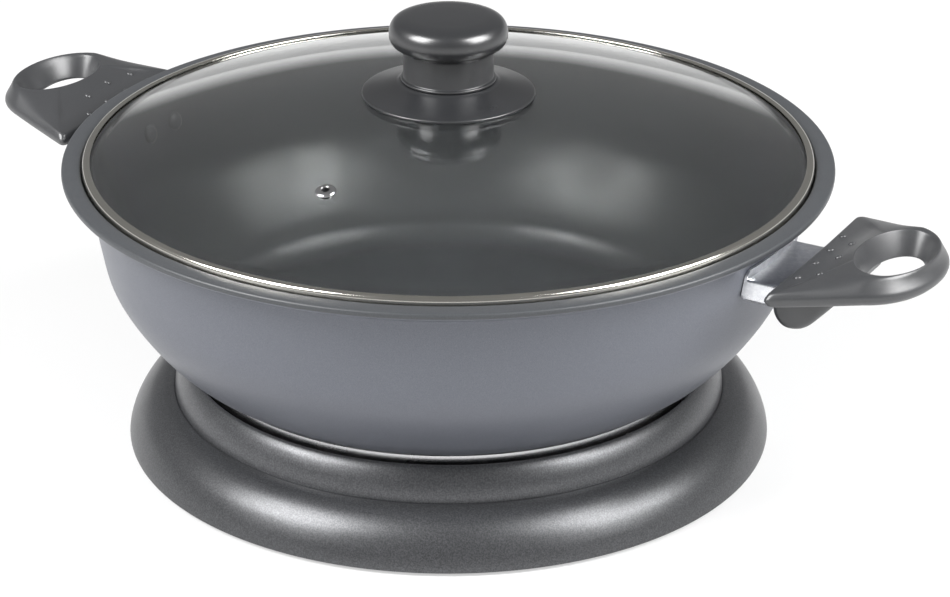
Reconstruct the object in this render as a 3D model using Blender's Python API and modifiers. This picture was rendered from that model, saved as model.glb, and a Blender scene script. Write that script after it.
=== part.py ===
"""Electric wok: a cast bowl with a glass lid, standing in a round base.

Metres, +Z up. The origin is on the table under the centre of the base, the two
handles lie along X, the front of the base is at -Y and the power inlet at +Y.
"""

import math

import bmesh
import bpy
import numpy as np
from mathutils import Vector
from mathutils.geometry import interpolate_bezier

# Fits
gap = 0.0003  # clearance between pieces that touch
rivet_gap = 0.0007  # a flat rivet head against the hollow bowl wall
overrun = 0.002  # how far every cutter runs past the face it opens
weld = 0.00001

# Facets
rim_steps = 40
knob_steps = 28
small_steps = 8
foot_steps = 12
shield_steps = 32

# Bowl
lid_radius = 0.161
lid_clearance = 0.0008
flange_width = 0.0082
flange_thickness = 0.0030
flange_round = 0.0012
ledge_depth = 0.0033
body_inset = 0.0021
wall = 0.0030
pan_height = 0.1017
pan_foot_radius = 0.115
pan_step_height = 0.0117
foot_ring_width = 0.011
foot_chamfer = 0.0008
recess_depth = 0.0042
bottom_thickness = 0.0055
pan_corner = 0.008
# Shares of the wall's height and of its spread, from the step up to the neck
wall_height_shares = (0.0, 0.12, 0.289, 0.481, 0.674, 0.842, 1.0)
wall_spread_shares = (0.03, 0.333, 0.604, 0.813, 0.898, 0.950, 1.0)
neck_thickness_share = 1.2

# Heating element and power inlet, under the bowl
element_ring_radius = 0.060
element_radius = 0.00325
element_sink = 0.0005
element_gap_angle = math.radians(24)
element_bend = 0.009
element_stub = 0.002
pin_spacing = 0.028
pin_radius = 0.0024
pin_length = 0.0155
earth_pin_radius = 0.0020
earth_pin_drop = 0.0058
probe_radius = 0.0036
probe_bore = 0.0026
probe_length = 0.0125
block_front = 0.078
block_thickness = 0.0045
shroud_setback = 0.0040  # from the bowl's foot ring to the mouth of the socket
shroud_back = 0.0705
shroud_width = 0.048
shroud_wall = 0.0022
shroud_clearance = 0.0011
ear_width = 0.010
ear_length = 0.014
ear_thickness = 0.0024
shroud_round = 0.0015

# Base
base_edge_height = 0.0015
skirt_height = 0.0235
skirt_spread = 0.0208
skirt_wall = 0.0026
collar_gap = 0.0016
collar_spread = 0.0078
collar_wall = 0.0024
step_reveal = 0.0040
deck_drop = 0.0013
well_radius = 0.0891
# Shares of the skirt's spread and of its fall, from the crease out to the edge
skirt_spread_shares = (0.0, 0.26, 0.50, 0.72, 0.885, 0.975, 1.0)
skirt_fall_shares = (0.0, 0.055, 0.175, 0.375, 0.63, 0.86, 1.0)
# Shares of the collar's lean and of its rise, from the lip down to the crease
collar_lean_shares = (0.10, 0.26, 0.52, 0.78, 0.94, 1.0)
collar_fall_shares = (0.0, 0.04, 0.20, 0.45, 0.72, 1.0)
tunnel_width = 0.052
tunnel_wall = 0.0024
tunnel_roof = 0.0012
plate_thickness = 0.0020
plate_clearance = 0.0012
shield_thickness = 0.0008
shield_clearance = 0.0025
shield_rim_height = 0.012
shield_flare = 0.003

# Feet, pads and fasteners
foot_height = 0.0030
foot_radius = 0.0090
foot_stem_radius = 0.0028
pad_height = 0.0075
pad_radius = 0.0060
pad_stem_radius = 0.0025
stem_tail = 0.0012
foot_angles = [math.radians(a) for a in (45, 135, 225, 315)]
boss_angles = [math.radians(a) for a in (22, 158, 202, 338)]
vent_angles = [math.radians(a) for a in (0, 68, 112, 180, 248, 270, 292)]
shield_screw_angles = [math.radians(a) for a in (210, 330, 90)]
foot_inset = 0.026
boss_radius = 0.0040
screw_radius = 0.0016
screw_head_radius = 0.0032
screw_head_height = 0.0016
screw_bite = 0.008
vent_length = 0.020
vent_width = 0.004
shield_screw_inset = 0.040

# Lid
glass_thickness = 0.0036
dome_radius = 0.437
band_thickness = 0.0007
band_lip = 0.0036
vent_radius = 0.1017
eyelet_bore = 0.00185
eyelet_tube = 0.0026
eyelet_flange = 0.0046
eyelet_height = 0.0011
knob_skirt_radius = 0.039
knob_skirt_edge = 0.0014
knob_skirt_rise = 0.0067
knob_seat_margin = 0.0006
knob_foot_radius = 0.0218
knob_stem_radius = 0.0202
knob_stem_height = 0.0117
knob_radius = 0.0262
knob_cap_height = 0.0160
lid_screw_radius = 0.0021
lid_screw_bite = 0.010
lid_washer_radius = 0.009
lid_washer_thickness = 0.0015
lid_screw_head_radius = 0.0050
lid_screw_head_height = 0.0020
# Shares of the knob's radius and of its cap's height, from the crown down to the neck
knob_out_shares = (0.50, 0.80, 0.93, 0.985, 1.0, 0.975, 0.92, 0.83)
knob_up_shares = (0.99, 0.95, 0.84, 0.66, 0.42, 0.22, 0.08, 0.0)
# Shares of the knob skirt's radius where its underside follows the dome
knob_skirt_shares = (1.0, 0.7, 0.4)

# Handles
grip_gap = 0.0045  # from the flange to the grip
grip_length = 0.0593
grip_half_width = 0.0493
grip_corner = 0.006
grip_edge = 0.0031
grip_drop = 0.0101  # the grip's top at its inner edge, below the bowl's rim
grip_rise = 0.0087  # the finger hole's rim above that
grip_thickness = 0.0062
ring_half_length = 0.0315
ring_half_width = 0.0388
ring_tip_width = 0.0058
ring_side_width = 0.0132
ring_thickness = 0.0090
ring_shoulder = 0.0024
hole_half_length = 0.0155
hole_narrowing = 0.0050
housing_half_width = 0.0262
housing_drop = 0.0244
housing_inset = 0.0060
housing_length = 0.0308
housing_round = 0.0030
# Shares of the boss's length and of its depth, from the heel to the toe
housing_out_shares = (0.0, 0.05, 0.17, 0.33, 0.52, 0.72, 0.92)
housing_drop_shares = (0.50, 0.80, 0.97, 1.0, 0.91, 0.66, 0.38)
sleeve_half_width = 0.0240
sleeve_height = 0.0100
sleeve_cover = 0.0006  # from the grip's underside down to the sleeve
sleeve_wall = 0.0018
sleeve_insert = 0.0090
bracket_plate = 0.0022
bracket_plate_height = 0.0135
rivet_spacing = 0.020
rivet_head_drop = 0.0028
rivet_radius = 0.0025
rivet_head_radius = 0.0042
rivet_head_height = 0.0018
grip_screw_inset = 0.0055
grip_screw_sink = 0.0012

# Heights that follow, from the table up
plate_bottom = foot_height + gap
plate_top = plate_bottom + plate_thickness
shield_bottom = plate_top + gap
shield_top = shield_bottom + shield_thickness
deck_top = skirt_height - deck_drop
deck_bottom = deck_top - skirt_wall
pan_seat = deck_top + gap + pad_height + gap
step_top = pan_seat + pan_step_height
underside = pan_seat + recess_depth
floor = underside + bottom_thickness
rim_top = pan_seat + pan_height
ledge = rim_top - ledge_depth
neck = ledge - neck_thickness_share * wall
collar_top = step_top - step_reveal
element_height = underside - element_sink
shroud_bottom = shield_top + shroud_clearance
shroud_top = underside - gap
shroud_roof = shroud_top - ear_thickness - shroud_wall
inlet_height = (shroud_bottom + shroud_roof + shroud_wall) / 2
tunnel_top = shroud_roof + shroud_wall + tunnel_roof
band_bottom = ledge + gap
glass_edge = band_bottom + band_thickness + gap
band_top = glass_edge + glass_thickness + gap + band_thickness
grip_height = rim_top - grip_drop
hole_rim = grip_height + grip_rise
ring_top = hole_rim - ring_shoulder
sleeve_top = grip_height - grip_thickness - sleeve_cover
rivet_height = sleeve_top - rivet_head_drop

# Radii that follow, from the axis out
lip_radius = pan_foot_radius + collar_gap
collar_radius = lip_radius + collar_spread
crease_radius = collar_radius + gap
base_radius = crease_radius + skirt_spread
recess_radius = lid_radius + lid_clearance
rim_radius = recess_radius + flange_width
neck_radius = lid_radius - body_inset
band_inner = lid_radius - band_lip
glass_radius = lid_radius - band_thickness - gap
groove_radius = element_radius + gap
pad_ring = pan_foot_radius - foot_ring_width / 2
shroud_mouth = pan_foot_radius - foot_ring_width - shroud_setback
plate_radius = base_radius - skirt_wall - plate_clearance
shield_radius = well_radius - shield_clearance
dome_centre = glass_edge + glass_thickness + (band_inner - gap) ** 2 / (2 * dome_radius)
grip_start = rim_radius + grip_gap
grip_reach = grip_start + grip_length
ring_centre = grip_reach - ring_half_length
hole_half_width = ring_half_width - ring_side_width
hole_centre = grip_reach - ring_tip_width - hole_half_length
housing_start = grip_start - housing_inset


def start_scene():
    """Empties the scene and returns the collections for pieces and for cutters."""
    for thing in list(bpy.data.objects):
        bpy.data.objects.remove(thing, do_unlink=True)
    made = []
    for name in ("electric_wok", "cutters"):
        group = bpy.data.collections.new(name)
        bpy.context.scene.collection.children.link(group)
        made.append(group)
    return made


PIECES, CUTTERS = start_scene()


def finish(name, colour, roughness, metallic):
    """A plain Principled material."""
    made = bpy.data.materials.new(name)
    made.use_nodes = True
    shader = made.node_tree.nodes["Principled BSDF"]
    shader.inputs["Base Color"].default_value = (*colour, 1.0)
    shader.inputs["Roughness"].default_value = roughness
    shader.inputs["Metallic"].default_value = metallic
    return made


BASE_PLASTIC = finish("base_plastic", (0.065, 0.067, 0.070), 0.55, 0.0)
COLLAR_PLASTIC = finish("collar_plastic", (0.085, 0.087, 0.092), 0.50, 0.0)
GRIP_PLASTIC = finish("grip_plastic", (0.050, 0.052, 0.055), 0.45, 0.0)
KNOB_PLASTIC = finish("knob_plastic", (0.045, 0.047, 0.052), 0.35, 0.0)
PAINT = finish("metallic_paint", (0.13, 0.14, 0.17), 0.38, 0.55)
STEEL = finish("steel", (0.62, 0.62, 0.63), 0.28, 1.0)
ALUMINIUM = finish("bare_aluminium", (0.55, 0.56, 0.58), 0.40, 1.0)
CERAMIC = finish("ceramic", (0.80, 0.78, 0.72), 0.60, 0.0)
BRASS = finish("nickel_pin", (0.70, 0.67, 0.60), 0.25, 1.0)
RUBBER = finish("rubber", (0.030, 0.030, 0.032), 0.85, 0.0)
SILICONE = finish("silicone", (0.10, 0.10, 0.11), 0.70, 0.0)
SOCKET_PLASTIC = finish("socket_plastic", (0.030, 0.030, 0.032), 0.50, 0.0)
GLASS = finish("glass", (0.92, 0.95, 0.94), 0.03, 0.0)


def add(name, mesh, look=None):
    """Puts a mesh in the scene: among the pieces if it has a finish, else among the cutters."""
    made = bpy.data.objects.new(name, mesh)
    if look is None:
        CUTTERS.objects.link(made)
        made.hide_render = True
        made.display_type = "WIRE"
    else:
        PIECES.objects.link(made)
        mesh.materials.append(look)
    return made


def polar(radius, angle, height=0.0):
    return Vector((radius * math.cos(angle), radius * math.sin(angle), height))


def aim(thing, place, direction):
    """Stands an object's own Z axis along a direction."""
    thing.location = place
    thing.rotation_mode = "QUATERNION"
    thing.rotation_quaternion = Vector(direction).to_track_quat("Z", "Y")


def turned(name, profile, look=None, steps=rim_steps, ring=True):
    """Turns (radius, height) points about Z. A ring's profile closes, another starts and ends on Z."""
    mesh = bpy.data.meshes.new(name)
    count = len(profile)
    edges = [(i, (i + 1) % count) for i in range(count if ring else count - 1)]
    mesh.from_pydata([(radius, 0.0, height) for radius, height in profile], edges, [])
    made = add(name, mesh, look)
    spin = made.modifiers.new("turn", "SCREW")
    spin.axis = "Z"
    spin.steps = steps
    spin.render_steps = steps
    spin.use_merge_vertices = True
    spin.merge_threshold = weld
    spin.use_smooth_shade = True
    return made


def block(name, low, high, look=None, rounding=0.0):
    """A box between two corners, with its edges rounded."""
    low, high = Vector(low), Vector(high)
    shape = bmesh.new()
    bmesh.ops.create_cube(shape, size=1)
    bmesh.ops.scale(shape, vec=high - low, verts=shape.verts)
    if rounding:
        bmesh.ops.bevel(
            shape, geom=shape.edges[:], offset=rounding, segments=2, profile=0.5,
            affect="EDGES", material=-1,
        )
    mesh = bpy.data.meshes.new(name)
    shape.to_mesh(mesh)
    shape.free()
    made = add(name, mesh, look)
    made.location = (low + high) / 2
    return made


def rod(name, radius, length, place, direction, look=None, steps=small_steps):
    """A round bar that starts at place and runs along direction."""
    shape = bmesh.new()
    bmesh.ops.create_cone(
        shape, cap_ends=True, segments=steps, radius1=radius, radius2=radius, depth=length
    )
    bmesh.ops.translate(shape, vec=(0, 0, length / 2), verts=shape.verts)
    mesh = bpy.data.meshes.new(name)
    shape.to_mesh(mesh)
    shape.free()
    made = add(name, mesh, look)
    aim(made, place, direction)
    return made


def extruded(name, outline, thickness, look=None, rounding=0.0):
    """A flat outline given a thickness, centred on its own XY plane, with its rims rounded."""
    curve = bpy.data.curves.new(name, "CURVE")
    curve.dimensions = "2D"
    curve.fill_mode = "BOTH"
    curve.extrude = thickness / 2
    line = curve.splines.new("POLY")
    line.points.add(len(outline) - 1)
    for point, (x, y) in zip(line.points, outline):
        point.co = (x, y, 0.0, 1.0)
    line.use_cyclic_u = True
    drawn = bpy.data.objects.new(name + "_outline", curve)
    bpy.context.scene.collection.objects.link(drawn)
    bpy.context.view_layer.update()
    evaluated = drawn.evaluated_get(bpy.context.evaluated_depsgraph_get())
    mesh = bpy.data.meshes.new_from_object(evaluated)
    bpy.data.objects.remove(drawn, do_unlink=True)
    shape = bmesh.new()
    shape.from_mesh(mesh)
    bmesh.ops.remove_doubles(shape, verts=shape.verts, dist=weld)
    bmesh.ops.dissolve_limit(
        shape, angle_limit=math.radians(1), verts=shape.verts, edges=shape.edges
    )
    if rounding:
        rims = [edge for edge in shape.edges if edge.calc_face_angle(0) > math.radians(60)]
        bmesh.ops.bevel(
            shape, geom=rims, offset=rounding, segments=2, profile=0.5,
            affect="EDGES", material=-1,
        )
    shape.to_mesh(mesh)
    shape.free()
    mesh.name = name
    return add(name, mesh, look)


def tube(name, points, radius, look):
    """A round tube along a list of points."""
    curve = bpy.data.curves.new(name, "CURVE")
    curve.dimensions = "3D"
    curve.bevel_depth = radius
    curve.bevel_resolution = 2
    curve.use_fill_caps = True
    line = curve.splines.new("POLY")
    line.points.add(len(points) - 1)
    for point, place in zip(line.points, points):
        point.co = (*place, 1.0)
    made = bpy.data.objects.new(name, curve)
    PIECES.objects.link(made)
    curve.materials.append(look)
    return made


def combine(target, other, operation="DIFFERENCE"):
    change = target.modifiers.new(other.name, "BOOLEAN")
    change.operation = operation
    change.solver = "EXACT"
    change.object = other


def along(points, parts):
    """A Catmull-Rom curve through points, with each interval cut into parts."""
    ends = [2 * points[0] - points[1], *points, 2 * points[-1] - points[-2]]
    drawn = []
    for a, b, c, d in zip(ends, ends[1:], ends[2:], ends[3:]):
        for part in range(parts):
            t = part / parts
            bend = (2 * a - 5 * b + 4 * c - d) * t**2 + (3 * b - a - 3 * c + d) * t**3
            drawn.append((2 * b + (c - a) * t + bend) / 2)
    return [*drawn, points[-1]]


def beside(points, distance):
    """The same line moved to the right of its own direction."""
    moved = []
    for i, point in enumerate(points):
        way = points[min(i + 1, len(points) - 1)] - points[max(i - 1, 0)]
        moved.append(point + Vector((way.y, -way.x)).normalized() * distance)
    return moved


def bend_between(start, corner, end, parts):
    """Points on a curve from start to end that leaves and arrives along the lines to corner."""
    shares = [part / parts for part in range(parts + 1)]
    return [start * (1 - t) ** 2 + corner * 2 * t * (1 - t) + end * t**2 for t in shares]


def pairs(points):
    return [(point.x, point.y) for point in points]


def screw(name, seat, direction, head, shank, look=STEEL, steps=small_steps):
    """A screw or rivet: seat is under its head, and direction is the way the head faces."""
    head_radius, head_height = head
    shank_radius, shank_length = shank
    crown = head_height / 2
    profile = [
        (0.0, head_height),
        (head_radius - crown, head_height),
        (head_radius, 0.0),
        (shank_radius, 0.0),
        (shank_radius, -shank_length),
        (0.0, -shank_length),
    ]
    made = turned(name, profile, look, steps, ring=False)
    aim(made, seat, direction)
    return made


# The bowl


def body_curve():
    """The bowl's outer wall from the neck down to the step, as (radius, height)."""
    rise = neck - step_top
    spread = neck_radius - pan_foot_radius
    corners = [
        Vector((pan_foot_radius + spread * out, step_top + rise * up))
        for up, out in zip(wall_height_shares, wall_spread_shares)
    ]
    return along(corners[::-1], 2)


def body_radius(height):
    """The outer wall's radius at a height."""
    curve = body_curve()[::-1]
    return float(np.interp(height, [p.y for p in curve], [p.x for p in curve]))


def bowl_profile():
    outside = body_curve()
    inside = [p for p in beside(outside, wall)[::2] if p.y > floor + pan_corner][::-1]
    way = inside[1] - inside[0]
    corner = Vector((inside[0].x - way.x / way.y * (inside[0].y - floor), floor))
    flat = corner - Vector((pan_corner, 0.0))
    profile = [(0.0, floor)]
    profile += pairs(bend_between(flat, corner, inside[0], 3)[:-1])
    profile += pairs(inside[:-1])
    chamfer = lid_clearance / 2
    profile += [
        (neck_radius - wall, ledge),
        (recess_radius, ledge),
        (recess_radius, rim_top - chamfer),
        (recess_radius + chamfer, rim_top),
        (rim_radius - flange_round, rim_top),
        (rim_radius, rim_top - flange_round),
        (rim_radius, rim_top - flange_thickness + flange_round / 2),
        (rim_radius - flange_round, rim_top - flange_thickness),
        (recess_radius + wall, rim_top - flange_thickness - flange_round / 2),
        (recess_radius, ledge - wall),
    ]
    profile += pairs(outside)
    foot_inner = pan_foot_radius - foot_ring_width
    profile += [
        (pan_foot_radius, step_top - foot_chamfer),
        (pan_foot_radius, pan_seat + foot_chamfer),
        (pan_foot_radius - foot_chamfer, pan_seat),
        (foot_inner, pan_seat),
        (foot_inner, underside),
    ]
    profile += groove_arc()
    profile.append((0.0, underside))
    return profile


def groove_arc():
    """The half-round groove for the element, from its outer edge to its inner edge."""
    start = math.asin(element_sink / groove_radius)
    turn = math.pi - 2 * start
    angles = [start + turn * part / 6 for part in range(7)]
    return [
        (
            element_ring_radius + groove_radius * math.cos(angle),
            element_height + groove_radius * math.sin(angle),
        )
        for angle in angles
    ]


def ear_place(side):
    return Vector((side * (shroud_width + ear_width) / 2, (shroud_mouth + shroud_back) / 2, 0))


def make_bowl():
    bowl = turned("pan_bowl", bowl_profile(), PAINT, ring=False)
    depth = bottom_thickness / 2
    for number, side in enumerate((-1, 1), 1):
        place = ear_place(side) + Vector((0, 0, underside - overrun))
        hole = rod(f"ear_screw_hole_{number}", screw_radius + gap, depth + overrun, place, (0, 0, 1))
        combine(bowl, hole)
    return bowl


# The heating element and the socket that feeds it


def element_points():
    """One end in the socket, round the ring under the bowl and back to the other end."""
    sweep = 2 * (math.pi - element_gap_angle)
    first = math.pi / 2 + element_gap_angle
    ring = [
        polar(element_ring_radius, first + sweep * part / 26, element_height)
        for part in range(27)
    ]
    tail_end = Vector((-pin_spacing / 2, block_front - block_thickness - gap, inlet_height))
    straight = tail_end - Vector((0.0, element_stub, 0.0))
    heading = Vector((math.cos(element_gap_angle), math.sin(element_gap_angle), 0.0))
    bend = interpolate_bezier(
        straight,
        straight - Vector((0.0, element_bend, 0.0)),
        ring[0] + heading * element_bend,
        ring[0],
        7,
    )
    tail = [tail_end, *bend]
    other = [Vector((-point.x, point.y, point.z)) for point in reversed(tail)]
    return [*tail[:-1], *ring, *other[1:]]


def make_inlet():
    tube("heating_element", element_points(), element_radius, STEEL)
    half = shroud_width / 2
    shroud = block(
        "socket_shroud", (-half, shroud_back, shroud_bottom), (half, shroud_mouth, shroud_top),
        SOCKET_PLASTIC, shroud_round,
    )
    inner = half - shroud_wall
    cavity = block(
        "socket_cavity",
        (-inner, shroud_back - overrun, shroud_bottom + shroud_wall),
        (inner, shroud_mouth + overrun, shroud_roof),
    )
    middle = (shroud_mouth + shroud_back) / 2
    ears = block(
        "socket_ears",
        (-half - ear_width, middle - ear_length / 2, shroud_top - ear_thickness),
        (half + ear_width, middle + ear_length / 2, shroud_top),
    )
    combine(shroud, ears, "UNION")
    combine(shroud, cavity)
    back = block_front - block_thickness
    plate = block(
        "terminal_block",
        (-inner + gap, back, shroud_bottom + shroud_wall + gap),
        (inner - gap, block_front, shroud_roof - gap),
        CERAMIC,
    )
    earth_height = inlet_height - earth_pin_drop
    for number, side in enumerate((-1, 1), 1):
        place = Vector((side * pin_spacing / 2, back, inlet_height))
        rod(f"terminal_pin_{number}", pin_radius, block_thickness + pin_length, place, (0, 1, 0), BRASS)
        combine(plate, through_hole(f"pin_hole_{number}", pin_radius, place))
        ear = ear_place(side) + Vector((0, 0, shroud_top - ear_thickness))
        hole = rod(f"ear_hole_{number}", screw_radius + gap, ear_thickness + 2 * overrun,
                   ear - Vector((0, 0, overrun)), (0, 0, 1))
        combine(shroud, hole)
        screw(
            f"shroud_screw_{number}", ear - Vector((0, 0, gap)), (0, 0, -1),
            (screw_head_radius, screw_head_height),
            (screw_radius, ear_thickness + bottom_thickness / 2 + gap),
        )
    earth = Vector((0, back, earth_height))
    rod("earth_pin", earth_pin_radius, block_thickness + pin_length + gap, earth, (0, 1, 0), BRASS)
    combine(plate, through_hole("earth_hole", earth_pin_radius, earth))
    probe_place = Vector((0, back, inlet_height + probe_radius - earth_pin_radius + gap))
    sleeve = rod(
        "probe_sleeve", probe_radius, block_thickness + probe_length, probe_place, (0, 1, 0), STEEL
    )
    bore = rod(
        "probe_bore", probe_bore, block_thickness + probe_length,
        probe_place + Vector((0, probe_radius - probe_bore, 0)), (0, 1, 0),
    )
    combine(sleeve, bore)
    combine(plate, through_hole("probe_hole", probe_radius, probe_place))


def through_hole(name, radius, place):
    """A cutter through the terminal block, a clearance wider than what goes in it."""
    start = place - Vector((0, overrun, 0))
    return rod(name, radius + gap, block_thickness + 2 * overrun, start, (0, 1, 0))


# The base


def skirt_curve():
    """The skirt's outer face from the crease down to its edge."""
    fall = skirt_height - base_edge_height
    corners = [
        Vector((crease_radius + skirt_spread * out, skirt_height - fall * down))
        for out, down in zip(skirt_spread_shares, skirt_fall_shares)
    ]
    return along(corners, 1)


def make_skirt():
    outside = skirt_curve()
    inside = beside(outside, skirt_wall)
    inside[-1] = Vector((base_radius - skirt_wall, base_edge_height))
    boss_bottom = plate_top + gap
    well_outer = well_radius + skirt_wall
    profile = pairs(outside) + pairs(inside[:0:-2])
    profile += [
        (crease_radius - skirt_wall, deck_bottom),
        (well_outer, deck_bottom),
        (well_outer, boss_bottom),
        (well_radius, boss_bottom),
        (well_radius, deck_top),
        (crease_radius, deck_top),
    ]
    skirt = turned("base_skirt", profile, BASE_PLASTIC)
    half = tunnel_width / 2
    duct = block(
        "tunnel_duct",
        (-half - tunnel_wall, well_radius + skirt_wall / 2, boss_bottom),
        (half + tunnel_wall, base_radius + overrun, deck_top),
    )
    envelope = turned(
        "skirt_envelope",
        [(0.0, deck_top), (crease_radius, deck_top), *pairs(outside), (0.0, base_edge_height)],
        ring=False,
    )
    combine(duct, envelope, "INTERSECT")
    combine(skirt, duct, "UNION")
    for number, angle in enumerate(boss_angles, 1):
        foot = polar(pad_ring, angle, boss_bottom)
        boss = rod(f"boss_{number}", boss_radius, deck_top - boss_bottom - skirt_wall / 2, foot, (0, 0, 1))
        bore = rod(f"boss_bore_{number}", screw_radius + gap, screw_bite + overrun,
                   foot - Vector((0, 0, overrun)), (0, 0, 1))
        combine(skirt, boss, "UNION")
        combine(skirt, bore)
    for number, angle in enumerate(foot_angles, 1):
        hole = rod(f"pad_hole_{number}", pad_stem_radius + gap, skirt_wall + 2 * overrun,
                   polar(pad_ring, angle, deck_bottom - overrun), (0, 0, 1))
        combine(skirt, hole)
    return skirt


def make_collar():
    lean = collar_radius - lip_radius
    foot = deck_top + gap
    fall = collar_top - foot
    corners = [
        Vector((lip_radius + lean * out, collar_top - fall * down))
        for out, down in zip(collar_lean_shares, collar_fall_shares)
    ]
    outside = along(corners, 1)
    inside = beside(outside, collar_wall)[2:]
    inside[-1] = Vector((collar_radius - collar_wall, foot))
    lip = Vector((lip_radius, collar_top - collar_wall / 3))
    below = Vector((lip_radius, collar_top - collar_wall))
    profile = pairs(outside) + pairs(inside[::-1]) + pairs([below, lip])
    return turned("collar_ring", profile, COLLAR_PLASTIC)


def slot(name, angle):
    """A cutter with round ends, lying along the circle of pad_ring."""
    shape = bmesh.new()
    radius = vent_width / 2
    bmesh.ops.create_cone(
        shape, cap_ends=True, segments=small_steps, radius1=radius, radius2=radius,
        depth=plate_thickness + 2 * overrun,
    )
    for vertex in shape.verts:
        if abs(vertex.co.y) > weld:
            vertex.co.y += math.copysign(vent_length / 2, vertex.co.y)
    mesh = bpy.data.meshes.new(name)
    shape.to_mesh(mesh)
    shape.free()
    made = add(name, mesh)
    made.location = polar(pad_ring, angle, plate_bottom + plate_thickness / 2)
    made.rotation_euler.z = angle
    return made


def make_bottom():
    plate = turned(
        "base_bottom_plate",
        [(0.0, plate_top), (plate_radius, plate_top), (plate_radius, plate_bottom), (0.0, plate_bottom)],
        BASE_PLASTIC, ring=False,
    )
    shield = turned("heat_shield", shield_profile(), ALUMINIUM, shield_steps, ring=False)
    for number, angle in enumerate(vent_angles, 1):
        combine(plate, slot(f"bottom_vent_{number}", angle))
    through = plate_thickness + 2 * overrun
    under = Vector((0, 0, overrun))
    for number, angle in enumerate(boss_angles, 1):
        seat = polar(pad_ring, angle, plate_bottom - gap)
        combine(plate, rod(f"bottom_hole_{number}", screw_radius + gap, through, seat - under, (0, 0, 1)))
        screw(
            f"bottom_screw_{number}", seat, (0, 0, -1), (screw_head_radius, screw_head_height),
            (screw_radius, gap + plate_thickness + gap + screw_bite - screw_radius),
        )
    for number, angle in enumerate(shield_screw_angles, 1):
        seat = polar(shield_radius - shield_screw_inset, angle, shield_top + gap)
        hole = rod(f"shield_hole_{number}", screw_radius + gap, 3 * through,
                   seat - Vector((0, 0, 2 * through)), (0, 0, 1))
        combine(plate, hole)
        combine(shield, hole)
        screw(
            f"shield_screw_{number}", seat, (0, 0, 1), (screw_head_radius, screw_head_height / 2),
            (screw_radius, shield_thickness + plate_thickness + gap),
        )
    for number, angle in enumerate(foot_angles, 1):
        place = polar(plate_radius - foot_inset, angle)
        combine(plate, rod(f"foot_hole_{number}", foot_stem_radius + gap, through,
                           place + Vector((0, 0, plate_bottom - overrun)), (0, 0, 1)))
        foot = turned(f"foot_{number}", plug_profile(
            foot_radius, foot_height, foot_stem_radius, plate_thickness + gap + stem_tail, True
        ), RUBBER, foot_steps, ring=False)
        foot.location = place
        pad = turned(f"support_pad_{number}", plug_profile(
            pad_radius, pad_height, pad_stem_radius, skirt_wall + gap + stem_tail, False
        ), SILICONE, foot_steps, ring=False)
        pad.location = polar(pad_ring, angle, deck_top + gap)
    return plate, shield


def plug_profile(radius, height, stem, stem_length, stem_up):
    """A round pad with a stem that holds it in a hole, above or below it."""
    edge = height / 5
    if stem_up:
        return [
            (0.0, height + stem_length), (stem, height + stem_length), (stem, height),
            (radius, height), (radius, edge), (radius - edge, 0.0), (0.0, 0.0),
        ]
    return [
        (0.0, height), (radius - edge, height), (radius, height - edge), (radius, 0.0),
        (stem, 0.0), (stem, -stem_length), (0.0, -stem_length),
    ]


def shield_profile():
    """A shallow dish of thin sheet with a flared rim."""
    top = shield_bottom + shield_rim_height
    sheet = shield_thickness
    inner = shield_radius - shield_flare
    return [
        (0.0, shield_top),
        (inner - 2 * sheet, shield_top),
        (inner - sheet, shield_top + sheet),
        (shield_radius - sheet, top),
        (shield_radius, top),
        (inner, shield_top),
        (inner - sheet, shield_bottom),
        (0.0, shield_bottom),
    ]


def cut_tunnel(*pieces):
    """Opens the way for the control plug through the back of the base."""
    half = tunnel_width / 2
    tunnel = block(
        "inlet_tunnel",
        (-half, well_radius - tunnel_width / 2, plate_top),
        (half, base_radius + 2 * overrun, tunnel_top),
    )
    for piece in pieces:
        combine(piece, tunnel)


# The lid


def dome(radius, lower=0.0):
    """A point of the lid's dome, lower than its top face by a distance. Inside the band it is flat."""
    curved = min(radius, band_inner - gap)
    return (radius, dome_centre - lower - curved**2 / (2 * dome_radius))


def make_lid():
    bore = lid_screw_radius + 2 * gap
    curved = band_inner - gap
    radii = [bore + (curved - bore) * part / 5 for part in range(6)] + [glass_radius]
    profile = [dome(radius) for radius in radii]
    profile += [dome(radius, glass_thickness) for radius in reversed(radii)]
    glass = turned("lid_glass", profile, GLASS)
    band = [
        (band_inner, band_top),
        (lid_radius - band_thickness, band_top),
        (lid_radius, band_top - band_thickness),
        (lid_radius, band_bottom),
        (band_inner, band_bottom),
        (band_inner, band_bottom + band_thickness),
        (lid_radius - band_thickness, band_bottom + band_thickness),
        (lid_radius - band_thickness, band_top - band_thickness),
        (band_inner, band_top - band_thickness),
    ]
    turned("lid_band", band, STEEL)
    make_vent(glass)
    make_knob()


def make_vent(glass):
    slope = math.asin(vent_radius / dome_radius)
    up = Vector((0.0, -math.sin(slope), math.cos(slope)))
    top = Vector((0.0, -vent_radius, dome(vent_radius)[1]))
    hole = rod("vent_hole", eyelet_tube + gap, glass_thickness + 2 * overrun,
               top - up * (glass_thickness + overrun), up)
    combine(glass, hole)
    rounding = eyelet_height / 3
    profile = [
        (eyelet_bore, eyelet_height),
        (eyelet_tube, eyelet_height),
        (eyelet_flange - rounding, eyelet_height - rounding),
        (eyelet_flange, 0.0),
        (eyelet_tube, 0.0),
        (eyelet_tube, -glass_thickness - gap),
        (eyelet_bore, -glass_thickness - gap),
    ]
    eyelet = turned("vent_eyelet", profile, STEEL, foot_steps)
    aim(eyelet, top + up * gap, up)


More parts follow.
